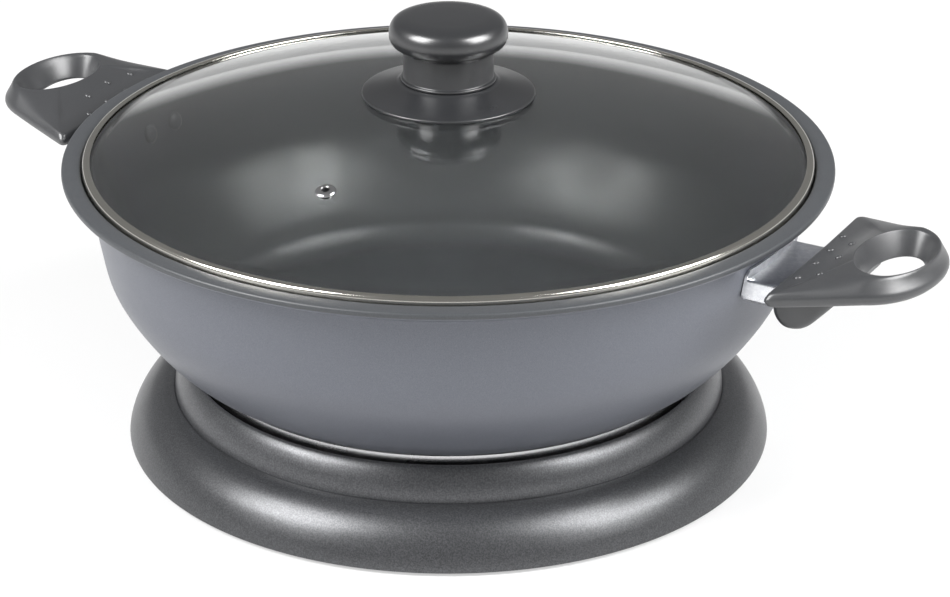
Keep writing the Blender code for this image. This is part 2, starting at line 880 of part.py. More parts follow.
def make_knob():
    seat = dome(knob_skirt_radius)[1] + gap + knob_skirt_edge + knob_skirt_rise
    bore = lid_screw_radius + gap
    seat_radius = knob_foot_radius + knob_seat_margin
    edge = dome(knob_skirt_radius)[1] + gap + knob_skirt_edge
    skirt = [
        (bore, seat),
        (seat_radius, seat),
        ((seat_radius + knob_skirt_radius) / 2, (seat + edge) / 2 - knob_skirt_edge / 2),
        (knob_skirt_radius - knob_skirt_edge, edge),
        (knob_skirt_radius, edge - knob_skirt_edge / 2),
    ]
    skirt += [dome(knob_skirt_radius * share, -gap) for share in knob_skirt_shares]
    skirt.append(dome(bore, -gap))
    turned("knob_skirt", skirt, KNOB_PLASTIC, knob_steps)
    foot = seat + gap
    cap = foot + knob_stem_height
    crown = cap + knob_cap_height
    ring = knob_foot_radius - knob_stem_radius
    screw_top = foot + lid_screw_bite
    knob = [(0.0, crown)]
    knob += [
        (knob_radius * out, cap + knob_cap_height * up)
        for out, up in zip(knob_out_shares, knob_up_shares)
    ]
    knob += [
        (knob_stem_radius, cap - ring),
        (knob_stem_radius, foot + 2 * ring),
        (knob_foot_radius, foot + ring),
        (knob_foot_radius, foot),
        (bore, foot),
        (bore, screw_top),
        (0.0, screw_top),
    ]
    turned("knob", knob, KNOB_PLASTIC, knob_steps, ring=False)
    washer_top = dome_centre - glass_thickness - gap
    washer_bottom = washer_top - lid_washer_thickness
    washer = [
        (bore, washer_top),
        (lid_washer_radius, washer_top),
        (lid_washer_radius, washer_bottom),
        (bore, washer_bottom),
    ]
    turned("knob_washer", washer, SILICONE, foot_steps)
    seat_point = Vector((0, 0, washer_bottom - gap))
    screw(
        "knob_screw", seat_point, (0, 0, -1), (lid_screw_head_radius, lid_screw_head_height),
        (lid_screw_radius, screw_top - gap - seat_point.z),
    )


# The handles


def grip_outline():
    """The grip seen from above: a straight inner edge whose sides run into an oval ring."""
    corner = Vector((grip_start, grip_half_width))
    seen = Vector(((grip_start - ring_centre) / ring_half_length, grip_half_width / ring_half_width))
    touch = math.atan2(seen.y, seen.x) - math.acos(1 / seen.length)
    ring = [
        Vector((
            ring_centre + ring_half_length * math.cos(touch * part / 6),
            ring_half_width * math.sin(touch * part / 6),
        ))
        for part in range(7)
    ]
    side = [ring[-1].lerp(corner, share) for share in (1 / 3, 2 / 3)]
    before = corner + (ring[-1] - corner).normalized() * grip_corner
    after = corner - Vector((0.0, grip_corner))
    inner = [after * (1 - share) + Vector((grip_start, 0.0)) * share for share in (1 / 3, 2 / 3, 1)]
    half = ring + side + bend_between(before, corner, after, 2) + inner
    return half + [Vector((point.x, -point.y)) for point in half[-2:0:-1]]


def oval_reach(way, half_length, half_width):
    """How far an oval reaches from its centre in a direction."""
    return 1 / math.hypot(way.x / half_length, way.y / half_width)


def grip_section(edge):
    """Points round the grip's solid, in the upright plane from the hole's centre to an edge point."""
    centre = Vector((hole_centre, 0.0))
    way = (edge - centre).normalized()
    bottom = centre + way * oval_reach(
        way, hole_half_length - hole_narrowing, hole_half_width - hole_narrowing
    )
    rim = centre + way * oval_reach(way, hole_half_length, hole_half_width)
    inset = edge - way * grip_edge
    share = min(1.0, (edge.x - grip_start) / (hole_centre - grip_start))
    top = grip_height + (ring_top - grip_height) * share
    low = top - grip_thickness - (ring_thickness - grip_thickness) * share
    middle = rim.lerp(inset, 0.5)
    return [
        (*bottom, ring_top - ring_thickness + grip_edge / 3),
        (*rim, hole_rim),
        (*middle, (hole_rim + top) / 2 + ring_shoulder / 4),
        (*inset, top),
        (*edge, (top + low) / 2),
        (*inset, low),
    ]


def grip_body(name):
    """The grip's solid: its sections all round the finger hole, joined."""
    shape = bmesh.new()
    sections = [
        [shape.verts.new(point) for point in grip_section(edge)] for edge in grip_outline()
    ]
    for near, far in zip(sections, sections[1:] + sections[:1]):
        for i in range(len(near)):
            shape.faces.new((near[i - 1], far[i - 1], far[i], near[i]))
    bmesh.ops.recalc_face_normals(shape, faces=shape.faces)
    mesh = bpy.data.meshes.new(name)
    shape.to_mesh(mesh)
    shape.free()
    return add(name, mesh, GRIP_PLASTIC)


def make_grip(name, place):
    grip = grip_body(name)
    grip.parent = place
    housing = extruded(
        f"{name}_housing", housing_outline(), 2 * housing_half_width, None, housing_round
    )
    housing.rotation_euler.x = math.pi / 2
    housing.parent = place
    combine(grip, housing, "UNION")
    pocket = block(
        f"{name}_pocket",
        (housing_start - 2 * overrun, -sleeve_half_width - gap, sleeve_top - sleeve_height - gap),
        (grip_start + sleeve_insert + gap, sleeve_half_width + gap, sleeve_top + gap),
    )
    pocket.parent = place
    combine(grip, pocket)
    screw_grip(name, grip, place)


def housing_outline():
    """The hollow boss under the grip, from the side: it closes round the metal sleeve."""
    low = [
        (housing_start + housing_length * out, grip_height - housing_drop * down)
        for out, down in zip(housing_out_shares, housing_drop_shares)
    ]
    inside_grip = grip_height - grip_thickness / 2
    return [
        *low,
        (housing_start + housing_length, inside_grip + grip_edge),
        (grip_start + grip_edge, inside_grip),
        (housing_start, grip_height - grip_thickness),
    ]


def screw_grip(name, slab, place):
    low = grip_height - housing_drop
    sleeve_bottom = sleeve_top - sleeve_height
    distance = grip_start + grip_screw_inset
    seat = Vector((distance, 0, low + grip_screw_sink + screw_head_height))
    well = rod(f"{name}_screw_well", screw_head_radius + gap, seat.z - gap - low + overrun,
               Vector((distance, 0, low - overrun)), (0, 0, 1))
    bore = rod(f"{name}_screw_bore", screw_radius + gap, sleeve_bottom - low,
               Vector((distance, 0, low)), (0, 0, 1))
    for cutter in (well, bore):
        cutter.parent = place
        combine(slab, cutter)
    made = screw(
        name.replace("handle_grip", "grip_screw"), seat - Vector((0, 0, 2 * gap)), (0, 0, -1),
        (screw_head_radius, screw_head_height),
        (screw_radius, sleeve_bottom + 2 * sleeve_wall - seat.z),
    )
    made.parent = place


def wall_clearance():
    """A solid that reaches to the middle of the brackets' plates, to trim what meets them."""
    low, high = sleeve_top - 2 * sleeve_height, sleeve_top + sleeve_height
    heights = [high, rivet_height, low]
    outer = [(body_radius(height) + gap + bracket_plate / 2, height) for height in heights]
    return turned("wall_clearance", [(0.0, high), *outer, (0.0, low)], ring=False)


def make_bracket(name, trim, place):
    """A flat sleeve with a curved plate on its end, riveted to the bowl's wall."""
    low = sleeve_top - sleeve_height
    end = grip_start + sleeve_insert
    half = sleeve_half_width
    inside_wall = body_radius(low) - sleeve_height
    bracket = block(name, (inside_wall, -half, low), (end, half, sleeve_top), ALUMINIUM)
    hollow = block(
        f"{name}_hollow",
        (body_radius(sleeve_top) + gap + bracket_plate, sleeve_wall - half, low + sleeve_wall),
        (end + overrun, half - sleeve_wall, sleeve_top - sleeve_wall),
    )
    plate = curved_plate(f"{name}_plate")
    for piece in (bracket, hollow, plate):
        piece.parent = place
    combine(bracket, trim)
    combine(bracket, plate, "UNION")
    combine(bracket, hollow)
    distance = grip_start + grip_screw_inset
    hole = rod(f"{name}_screw_hole", screw_radius + gap, sleeve_wall + 2 * overrun,
               Vector((distance, 0, low - overrun)), (0, 0, 1))
    hole.parent = place
    combine(bracket, hole)
    return bracket


def curved_plate(name):
    """The bracket's plate, which follows the bowl's wall."""
    low = rivet_height - bracket_plate_height / 2
    heights = [low + bracket_plate_height * part / 3 for part in range(4)]
    near = [Vector((body_radius(z) + gap, z)) for z in heights]
    far = [Vector((p.x + bracket_plate, p.y)) for p in near]
    half = math.asin(sleeve_half_width / near[0].x)
    shape = bmesh.new()
    corners = [shape.verts.new((p.x, 0.0, p.y)) for p in near + far[::-1]]
    face = shape.faces.new(corners)
    bmesh.ops.spin(
        shape, geom=[face], cent=(0, 0, 0), axis=(0, 0, 1), angle=2 * half, steps=6,
        use_duplicate=False,
    )
    bmesh.ops.recalc_face_normals(shape, faces=shape.faces)
    mesh = bpy.data.meshes.new(name)
    shape.to_mesh(mesh)
    shape.free()
    made = add(name, mesh)
    made.rotation_euler.z = -half
    return made


def rivet_bracket(side, bowl, bracket, place):
    """Two rivets through the bowl's wall, square to it, with their heads inside."""
    step = wall / 2
    lean = math.atan((body_radius(rivet_height + step) - body_radius(rivet_height - step)) / wall)
    outer = body_radius(rivet_height)
    angle = math.asin(rivet_spacing / 2 / outer)
    for number, turn in enumerate((-angle, angle), 1):
        inward = -polar(math.cos(lean), turn) + Vector((0, 0, math.sin(lean)))
        on_wall = polar(outer, turn, rivet_height)
        seat = on_wall + inward * (wall + rivet_gap)
        length = wall + rivet_gap + gap + bracket_plate
        hole = rod(f"rivet_hole_{side}_{number}", rivet_radius + gap, length + 3 * overrun,
                   on_wall - inward * (gap + bracket_plate + overrun / 2), inward)
        hole.parent = place
        combine(bowl, hole)
        combine(bracket, hole)
        made = screw(
            f"bracket_rivet_{side}_{number}", seat, inward, (rivet_head_radius, rivet_head_height),
            (rivet_radius, length - gap), ALUMINIUM,
        )
        made.parent = place


def make_handles(bowl):
    trim = wall_clearance()
    for side, turn in (("right", 0.0), ("left", math.pi)):
        place = bpy.data.objects.new(f"handle_place_{side}", None)
        CUTTERS.objects.link(place)
        place.rotation_euler.z = turn
        bracket = make_bracket(f"handle_bracket_{side}", trim, place)
        rivet_bracket(side, bowl, bracket, place)
        make_grip(f"handle_grip_{side}", place)


def main():
    bowl = make_bowl()
    make_inlet()
    skirt = make_skirt()
    collar = make_collar()
    plate, shield = make_bottom()
    cut_tunnel(skirt, collar, shield)
    make_lid()
    make_handles(bowl)


main()
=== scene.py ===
import math

import bmesh
import bpy
from mathutils import Matrix, Vector
from mathutils.bvhtree import BVHTree


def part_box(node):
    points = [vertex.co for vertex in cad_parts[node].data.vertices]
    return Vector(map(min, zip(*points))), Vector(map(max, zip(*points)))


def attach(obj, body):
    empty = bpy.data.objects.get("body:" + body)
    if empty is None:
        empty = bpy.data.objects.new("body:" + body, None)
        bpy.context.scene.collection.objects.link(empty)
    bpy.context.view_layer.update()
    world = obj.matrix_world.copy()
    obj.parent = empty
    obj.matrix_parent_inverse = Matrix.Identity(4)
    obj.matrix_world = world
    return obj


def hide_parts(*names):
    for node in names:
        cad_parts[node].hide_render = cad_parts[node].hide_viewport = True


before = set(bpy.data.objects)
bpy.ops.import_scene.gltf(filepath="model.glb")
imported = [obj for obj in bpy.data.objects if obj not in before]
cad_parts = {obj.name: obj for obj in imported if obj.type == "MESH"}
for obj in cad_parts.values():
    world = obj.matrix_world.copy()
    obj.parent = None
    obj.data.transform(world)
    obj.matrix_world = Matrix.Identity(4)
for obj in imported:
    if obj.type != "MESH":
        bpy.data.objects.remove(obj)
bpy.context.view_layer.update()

MM = 0.001
TAU = 2 * math.pi

# Heights and radii of the electric wok in metres, as its solids have them
GAP = 0.0003
SEAT, UNDERSIDE, FLOOR = 0.0303, 0.0345, 0.0400
STEP_TOP, NECK, LEDGE, RIM_TOP = 0.0420, 0.1251, 0.1287, 0.1320
FOOT_RADIUS, NECK_RADIUS, RECESS_RADIUS, RIM_RADIUS = 0.1150, 0.1589, 0.1618, 0.1700
WALL = 0.0030
DECK_TOP, DECK_BOTTOM, SKIRT_TOP = 0.0222, 0.0196, 0.0235
CREASE_RADIUS, BASE_RADIUS, WELL_RADIUS = 0.1247, 0.1455, 0.0891
PAD_RING = 0.1095
DOME_RADIUS, DOME_TOP, BAND_INNER, GLASS_RADIUS = 0.437, 0.16184, 0.1574, 0.160
GLASS_THICKNESS, VENT_REACH = 0.0036, 0.1017
GRIP_START, GRIP_HALF = 0.1745, 0.0493
GRIP_TOP, HOLE_RIM, RING_TOP = 0.1219, 0.1306, 0.1282
RING_CENTRE, RING_LONG, RING_WIDE = 0.2023, 0.0315, 0.0388
HOLE_CENTRE, HOLE_LONG, HOLE_WIDE = 0.2125, 0.0155, 0.0256
SLEEVE_TOP, SLEEVE_HALF, SLEEVE_HEIGHT = 0.1151, 0.0240, 0.0100
RIVET_HEIGHT = 0.1123


# Small tools for shapes


def along(points, parts):
    """A smooth line through points, with each stretch cut into parts."""
    ends = [2 * points[0] - points[1], *points, 2 * points[-1] - points[-2]]
    drawn = []
    for a, b, c, d in zip(ends, ends[1:], ends[2:], ends[3:]):
        for part in range(parts):
            t = part / parts
            bend = (2 * a - 5 * b + 4 * c - d) * t**2 + (3 * b - a - 3 * c + d) * t**3
            drawn.append((2 * b + (c - a) * t + bend) / 2)
    return [*drawn, points[-1]]


def beside(points, distance):
    """The same line moved to the right of its own direction."""
    moved = []
    for i, point in enumerate(points):
        way = points[min(i + 1, len(points) - 1)] - points[max(i - 1, 0)]
        moved.append(point + Vector((way.y, -way.x)).normalized() * distance)
    return moved


def eased(corners, parts=4, closed=False):
    """Rounds the corners of a line. A corner is (radius, height) or (radius, height, rounding)."""
    points = []
    for i, corner in enumerate(corners):
        here = Vector(corner[:2])
        cut = corner[2] if len(corner) > 2 else 0.0
        if not cut or (not closed and i in (0, len(corners) - 1)):
            points.append(here)
            continue
        before = Vector(corners[i - 1][:2]) - here
        after = Vector(corners[(i + 1) % len(corners)][:2]) - here
        start = here + before * min(0.49, cut / before.length)
        end = here + after * min(0.49, cut / after.length)
        for part in range(parts + 1):
            t = part / parts
            points.append(start * (1 - t) ** 2 + here * 2 * t * (1 - t) + end * t**2)
    return points


def polar(radius, degrees, height=0.0):
    angle = math.radians(degrees)
    return Vector((radius * math.cos(angle), radius * math.sin(angle), height))


def shade(shape, degrees=32):
    """Smooth faces, with sharp edges where two faces meet at more than an angle."""
    limit = math.radians(degrees)
    for face in shape.faces:
        face.smooth = True
    for edge in shape.edges:
        edge.smooth = edge.calc_face_angle(0.0) < limit


def piece(name, shape, *looks, degrees=32):
    """Makes a mesh object of a bmesh and gives it its finishes."""
    shade(shape, degrees)
    mesh = bpy.data.meshes.new(name)
    shape.to_mesh(mesh)
    shape.free()
    for look in looks:
        mesh.materials.append(look)
    made = bpy.data.objects.new(name, mesh)
    bpy.context.scene.collection.objects.link(made)
    return made


def fits(made, body, slot, *nodes):
    """Puts a piece on its body, in place of the solids that it stands for."""
    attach(made, body)
    if nodes:
        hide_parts(*nodes)
    return made


def lathe(profile, steps=160, closed=False):
    """A bmesh turned about Z from a line of (radius, height) points."""
    shape = bmesh.new()
    line = [shape.verts.new((point[0], 0.0, point[1])) for point in profile]
    pairs = list(zip(line, line[1:])) + ([(line[-1], line[0])] if closed else [])
    edges = [shape.edges.new(pair) for pair in pairs]
    bmesh.ops.spin(
        shape, geom=line + edges, cent=(0, 0, 0), axis=(0, 0, 1), angle=TAU, steps=steps,
        use_merge=True, use_duplicate=False,
    )
    bmesh.ops.remove_doubles(shape, verts=shape.verts, dist=0.002 * MM)
    bmesh.ops.dissolve_degenerate(shape, dist=0.001 * MM, edges=shape.edges)
    bmesh.ops.recalc_face_normals(shape, faces=shape.faces)
    return shape


def box_shape(low, high, rounding=0.0, parts=3):
    low, high = Vector(low), Vector(high)
    shape = bmesh.new()
    bmesh.ops.create_cube(shape, size=1)
    bmesh.ops.scale(shape, vec=high - low, verts=shape.verts)
    bmesh.ops.translate(shape, vec=(low + high) / 2, verts=shape.verts)
    if rounding:
        bmesh.ops.bevel(
            shape, geom=shape.edges[:], offset=rounding, segments=parts, profile=0.5,
            affect="EDGES", material=-1,
        )
    return shape


def rod_shape(radius, start, end, steps=24):
    start, end = Vector(start), Vector(end)
    shape = bmesh.new()
    bmesh.ops.create_cone(
        shape, cap_ends=True, segments=steps, radius1=radius, radius2=radius,
        depth=(end - start).length,
    )
    turn = (end - start).to_track_quat("Z", "Y").to_matrix().to_4x4()
    bmesh.ops.transform(
        shape, matrix=Matrix.Translation((start + end) / 2) @ turn, verts=shape.verts
    )
    return shape


def carve(target, *cuts):
    """Joins or cuts shapes, each given as (operation, bmesh), and leaves a plain mesh."""
    cutters = []
    for operation, shape in cuts:
        cutter = piece("cutter", shape)
        change = target.modifiers.new("cut", "BOOLEAN")
        change.operation = operation
        change.solver = "EXACT"
        change.object = cutter
        cutters.append(cutter)
    bpy.context.view_layer.update()
    looks = list(target.data.materials)
    ready = target.evaluated_get(bpy.context.evaluated_depsgraph_get())
    mesh = bpy.data.meshes.new_from_object(ready)
    target.modifiers.clear()
    target.data = mesh
    mesh.materials.clear()
    for look in looks:
        mesh.materials.append(look)
    for cutter in cutters:
        bpy.data.objects.remove(cutter, do_unlink=True)
    shape = bmesh.new()
    shape.from_mesh(mesh)
    bmesh.ops.remove_doubles(shape, verts=shape.verts, dist=0.002 * MM)
    shade(shape)
    shape.to_mesh(mesh)
    shape.free()
    return target


def soften(made, width, parts=2, degrees=40):
    """A bevel on the sharp edges of a piece."""
    change = made.modifiers.new("soft_edges", "BEVEL")
    change.width = width
    change.segments = parts
    change.limit_method = "ANGLE"
    change.angle_limit = math.radians(degrees)
    change.harden_normals = False
    return made


def mirrored(shape):
    """A half turn about Z, from the right handle to the left one."""
    bmesh.ops.rotate(
        shape, cent=(0, 0, 0), matrix=Matrix.Rotation(math.pi, 3, "Z"), verts=shape.verts
    )
    return shape


# Shared effects for the finishes


def node(tree, kind, inputs=None, **settings):
    """A shader node with its settings, constants and links."""
    made = tree.nodes.new(kind)
    for name, value in settings.items():
        setattr(made, name, value)
    for key, value in (inputs or {}).items():
        if isinstance(value, bpy.types.NodeSocket):
            tree.links.new(value, made.inputs[key])
        else:
            made.inputs[key].default_value = value
    return made


def effect(name, inputs, outputs):
    """An empty shader node group with named sockets: (group, inputs, outputs)."""
    group = bpy.data.node_groups.new(name, "ShaderNodeTree")
    for label, kind, value in inputs:
        socket = group.interface.new_socket(label, in_out="INPUT", socket_type=kind)
        if value is not None:
            socket.default_value = value
    for label, kind in outputs:
        group.interface.new_socket(label, in_out="OUTPUT", socket_type=kind)
    start = group.nodes.new("NodeGroupInput")
    end = group.nodes.new("NodeGroupOutput")
    return group, start.outputs, end.inputs


def scaled(tree, value, low, high, to_low, to_high):
    """A value moved from one range to another, and held inside it."""
    made = node(tree, "ShaderNodeMapRange", {
        "Value": value, "From Min": low, "From Max": high, "To Min": to_low, "To Max": to_high,
    })
    return made.outputs["Result"]


def moulded_grain():
    """The fine pebbled skin of moulded plastic: a speckle mask and a height."""
    group, given, out = effect(
        "moulded_grain",
        [("Vector", "NodeSocketVector", None), ("Scale", "NodeSocketFloat", 1400.0)],
        [("Speckle", "NodeSocketFloat"), ("Height", "NodeSocketFloat")],
    )
    noise = node(group, "ShaderNodeTexNoise", {
        "Vector": given["Vector"], "Scale": given["Scale"], "Detail": 3.0, "Roughness": 0.65,
    })
    cells = node(group, "ShaderNodeTexVoronoi", {
        "Vector": given["Vector"], "Scale": given["Scale"],
    })
    group.links.new(scaled(group, noise.outputs["Fac"], 0.38, 0.66, 0.0, 1.0), out["Speckle"])
    mixed = node(group, "ShaderNodeMath", {
        0: cells.outputs["Distance"], 1: noise.outputs["Fac"],
    }, operation="ADD")
    group.links.new(mixed.outputs[0], out["Height"])
    return group


def turning_marks():
    """The fine rings that a lathe leaves round the Z axis."""
    group, given, out = effect(
        "turning_marks",
        [("Vector", "NodeSocketVector", None), ("Scale", "NodeSocketFloat", 2600.0)],
        [("Shade", "NodeSocketFloat"), ("Height", "NodeSocketFloat")],
    )
    flat = node(group, "ShaderNodeVectorMath", {
        0: given["Vector"], 1: (1.0, 1.0, 0.0),
    }, operation="MULTIPLY")
    reach = node(group, "ShaderNodeVectorMath", {0: flat.outputs[0]}, operation="LENGTH")
    parts = node(group, "ShaderNodeSeparateXYZ", {0: given["Vector"]})
    total = node(group, "ShaderNodeMath", {
        0: reach.outputs["Value"], 1: parts.outputs["Z"],
    }, operation="ADD")
    rings = node(group, "ShaderNodeTexNoise", {
        "W": total.outputs[0], "Scale": given["Scale"], "Detail": 2.0,
    }, noise_dimensions="1D")
    group.links.new(scaled(group, rings.outputs["Fac"], 0.3, 0.7, 0.0, 1.0), out["Shade"])
    group.links.new(rings.outputs["Fac"], out["Height"])
    return group


def handling():
    """Soft patches where a surface is a little duller or shinier, between two roughnesses."""
    group, given, out = effect(
        "handling",
        [
            ("Vector", "NodeSocketVector", None), ("Scale", "NodeSocketFloat", 22.0),
            ("Low", "NodeSocketFloat", 0.3), ("High", "NodeSocketFloat", 0.5),
        ],
        [("Roughness", "NodeSocketFloat"), ("Patch", "NodeSocketFloat")],
    )
    broad = node(group, "ShaderNodeTexNoise", {
        "Vector": given["Vector"], "Scale": given["Scale"], "Detail": 4.0, "Roughness": 0.6,
    })
    patch = scaled(group, broad.outputs["Fac"], 0.35, 0.65, 0.0, 1.0)
    made = node(group, "ShaderNodeMapRange", {
        "Value": patch, "To Min": given["Low"], "To Max": given["High"],
    })
    group.links.new(made.outputs["Result"], out["Roughness"])
    group.links.new(patch, out["Patch"])
    return group


def rubbed_edges():
    """A mask of the edges that hands and cloths rub."""
    group, given, out = effect(
        "rubbed_edges",
        [("Vector", "NodeSocketVector", None), ("Amount", "NodeSocketFloat", 0.5)],
        [("Mask", "NodeSocketFloat")],
    )
    geometry = node(group, "ShaderNodeNewGeometry")
    edge = scaled(group, geometry.outputs["Pointiness"], 0.52, 0.62, 0.0, 1.0)
    noise = node(group, "ShaderNodeTexNoise", {
        "Vector": given["Vector"], "Scale": 320.0, "Detail": 3.0,
    })
    broken = node(group, "ShaderNodeMath", {0: edge, 1: noise.outputs["Fac"]}, operation="MULTIPLY")
    made = node(group, "ShaderNodeMath", {
        0: broken.outputs[0], 1: given["Amount"],
    }, operation="MULTIPLY")
    group.links.new(made.outputs[0], out["Mask"])
    return group


GRAIN, RINGS, HANDLED, RUBBED = moulded_grain(), turning_marks(), handling(), rubbed_edges()


def finish(
    name, colour, second, rough, metallic=0.0, grain=1400.0, grain_depth=0.0, rings=None,
    ring_depth=0.0, rub=0.0, rubbed=(0.5, 0.5, 0.5), bump=0.2, coat=0.0, coat_rough=0.15,
    specular=0.5,
):
    """A finish with a speckle or rings between two colours, handling marks and rubbed edges."""
    made = bpy.data.materials.new(name)
    made.use_nodes = True
    tree = made.node_tree
    shader = tree.nodes["Principled BSDF"]
    place = node(tree, "ShaderNodeTexCoord").outputs["Object"]
    speckle = node(tree, "ShaderNodeGroup", node_tree=GRAIN)
    tree.links.new(place, speckle.inputs["Vector"])
    speckle.inputs["Scale"].default_value = grain
    mask, height = speckle.outputs["Speckle"], speckle.outputs["Height"]
    depth = grain_depth
    if rings:
        marks = node(tree, "ShaderNodeGroup", node_tree=RINGS)
        tree.links.new(place, marks.inputs["Vector"])
        marks.inputs["Scale"].default_value = rings
        mask, height, depth = marks.outputs["Shade"], marks.outputs["Height"], ring_depth
    blend = node(tree, "ShaderNodeMix", data_type="RGBA")
    tree.links.new(mask, blend.inputs["Factor"])
    blend.inputs["A"].default_value = (*colour, 1.0)
    blend.inputs["B"].default_value = (*second, 1.0)
    seen = blend.outputs["Result"]
    if rub:
        edges = node(tree, "ShaderNodeGroup", node_tree=RUBBED)
        tree.links.new(place, edges.inputs["Vector"])
        edges.inputs["Amount"].default_value = rub
        lighter = node(tree, "ShaderNodeMix", data_type="RGBA")
        tree.links.new(edges.outputs["Mask"], lighter.inputs["Factor"])
        tree.links.new(seen, lighter.inputs["A"])
        lighter.inputs["B"].default_value = (*rubbed, 1.0)
        seen = lighter.outputs["Result"]
    tree.links.new(seen, shader.inputs["Base Color"])
    hands = node(tree, "ShaderNodeGroup", node_tree=HANDLED)
    tree.links.new(place, hands.inputs["Vector"])
    hands.inputs["Low"].default_value, hands.inputs["High"].default_value = rough
    tree.links.new(hands.outputs["Roughness"], shader.inputs["Roughness"])
    relief = node(tree, "ShaderNodeBump", {"Height": height, "Strength": bump, "Distance": depth})
    tree.links.new(relief.outputs["Normal"], shader.inputs["Normal"])
    shader.inputs["Metallic"].default_value = metallic
    shader.inputs["Coat Weight"].default_value = coat
    shader.inputs["Coat Roughness"].default_value = coat_rough
    shader.inputs["Specular IOR Level"].default_value = specular
    return made


BASE_PLASTIC = finish(
    "base_plastic", (0.034, 0.035, 0.038), (0.082, 0.084, 0.089), (0.31, 0.37),
    grain=1500.0, grain_depth=0.04 * MM, bump=0.3, rub=0.3, rubbed=(0.2, 0.2, 0.21),
    metallic=0.45, specular=0.9,
)
COLLAR_PLASTIC = finish(
    "collar_plastic", (0.044, 0.045, 0.049), (0.096, 0.098, 0.104), (0.31, 0.37),
    grain=1500.0, grain_depth=0.04 * MM, bump=0.3, metallic=0.45, specular=0.9,
)
UNDER_PLASTIC = finish(
    "under_plastic", (0.030, 0.031, 0.033), (0.060, 0.061, 0.064), (0.55, 0.65),
    grain=900.0, grain_depth=0.15 * MM, bump=0.5,
)
GRIP_PLASTIC = finish(
    "grip_plastic", (0.032, 0.033, 0.035), (0.043, 0.044, 0.047), (0.32, 0.39),
    grain=2600.0, grain_depth=0.03 * MM, bump=0.2, rub=0.25, rubbed=(0.12, 0.12, 0.125),
    specular=0.8,
)
KNOB_PLASTIC = finish(
    "knob_plastic", (0.014, 0.0145, 0.016), (0.022, 0.023, 0.025), (0.27, 0.33),
    grain=2600.0, grain_depth=0.02 * MM, bump=0.15, rub=0.2, rubbed=(0.09, 0.09, 0.095),
    specular=1.0,
)
PAINT = finish(
    "metallic_paint", (0.096, 0.102, 0.121), (0.142, 0.150, 0.174), (0.40, 0.46), metallic=0.35,
    grain=3400.0, grain_depth=0.02 * MM, bump=0.15, coat=0.15, coat_rough=0.25,
)
NON_STICK = finish(
    "non_stick", (0.040, 0.043, 0.047), (0.058, 0.061, 0.066), (0.36, 0.46),
    grain=2200.0, grain_depth=0.04 * MM, bump=0.3,
)
POLISHED = finish(
    "machined_edge", (0.60, 0.60, 0.61), (0.74, 0.74, 0.75), (0.20, 0.30), metallic=1.0,
    rings=3800.0, ring_depth=0.05 * MM, bump=0.3,
)
CAST = finish(
    "cast_aluminium", (0.42, 0.43, 0.44), (0.56, 0.57, 0.58), (0.42, 0.52), metallic=1.0,
    rings=1500.0, ring_depth=0.15 * MM, bump=0.5,
)
STEEL = finish(
    "steel", (0.60, 0.60, 0.61), (0.70, 0.70, 0.71), (0.16, 0.24), metallic=1.0,
    rings=5200.0, ring_depth=0.03 * MM, bump=0.2,
)
BAND_STEEL = finish(
    "band_steel", (0.66, 0.64, 0.59), (0.78, 0.76, 0.70), (0.10, 0.17), metallic=1.0,
    rings=5200.0, ring_depth=0.02 * MM, bump=0.15,
)
ALUMINIUM = finish(
    "satin_aluminium", (0.72, 0.73, 0.76), (0.84, 0.85, 0.87), (0.22, 0.34), metallic=1.0,
    grain=420.0, grain_depth=0.03 * MM, bump=0.12,
)
SHEET = finish(
    "shield_sheet", (0.58, 0.58, 0.58), (0.68, 0.68, 0.68), (0.30, 0.42), metallic=1.0,
    grain=260.0, grain_depth=0.2 * MM, bump=0.25,
)
CERAMIC = finish(
    "ceramic", (0.74, 0.71, 0.64), (0.82, 0.80, 0.74), (0.55, 0.65),
    grain=1200.0, grain_depth=0.08 * MM, bump=0.4,
)
PIN_METAL = finish(
    "nickel_pin", (0.62, 0.59, 0.52), (0.74, 0.71, 0.64), (0.18, 0.28), metallic=1.0,
    grain=900.0, grain_depth=0.03 * MM, bump=0.2,
)
RUBBER = finish(
    "rubber", (0.016, 0.016, 0.017), (0.030, 0.030, 0.031), (0.72, 0.85),
    grain=1100.0, grain_depth=0.12 * MM, bump=0.5,
)
SILICONE = finish(
    "silicone", (0.060, 0.060, 0.064), (0.085, 0.085, 0.090), (0.55, 0.68),
    grain=1300.0, grain_depth=0.06 * MM, bump=0.3,
)
SOCKET_PLASTIC = finish(
    "socket_plastic", (0.016, 0.016, 0.017), (0.030, 0.030, 0.032), (0.45, 0.55),
    grain=1400.0, grain_depth=0.1 * MM, bump=0.4,
)
ELEMENT = finish(
    "element_sheath", (0.20, 0.19, 0.18), (0.32, 0.30, 0.28), (0.36, 0.48), metallic=1.0,
    grain=420.0, grain_depth=0.05 * MM, bump=0.3,
)


def glass():
    """Clear tempered glass with a faint green body and wiping marks in its gloss."""
    made = bpy.data.materials.new("glass")
    made.use_nodes = True
    tree = made.node_tree
    shader = tree.nodes["Principled BSDF"]
    shader.inputs["Base Color"].default_value = (0.97, 0.985, 0.98, 1.0)
    shader.inputs["Transmission Weight"].default_value = 1.0
    shader.inputs["Metallic"].default_value = 0.0
    shader.inputs["IOR"].default_value = 1.48
    place = node(tree, "ShaderNodeTexCoord").outputs["Object"]
    hands = node(tree, "ShaderNodeGroup", node_tree=HANDLED)
    tree.links.new(place, hands.inputs["Vector"])
    hands.inputs["Scale"].default_value = 30.0
    hands.inputs["Low"].default_value, hands.inputs["High"].default_value = 0.0, 0.03
    tree.links.new(hands.outputs["Roughness"], shader.inputs["Roughness"])
    return made


GLASS = glass()


# The bowl


WALL_RISE = (0.0, 0.12, 0.289, 0.481, 0.674, 0.842, 1.0)
WALL_SPREAD = (0.03, 0.333, 0.604, 0.813, 0.898, 0.950, 1.0)


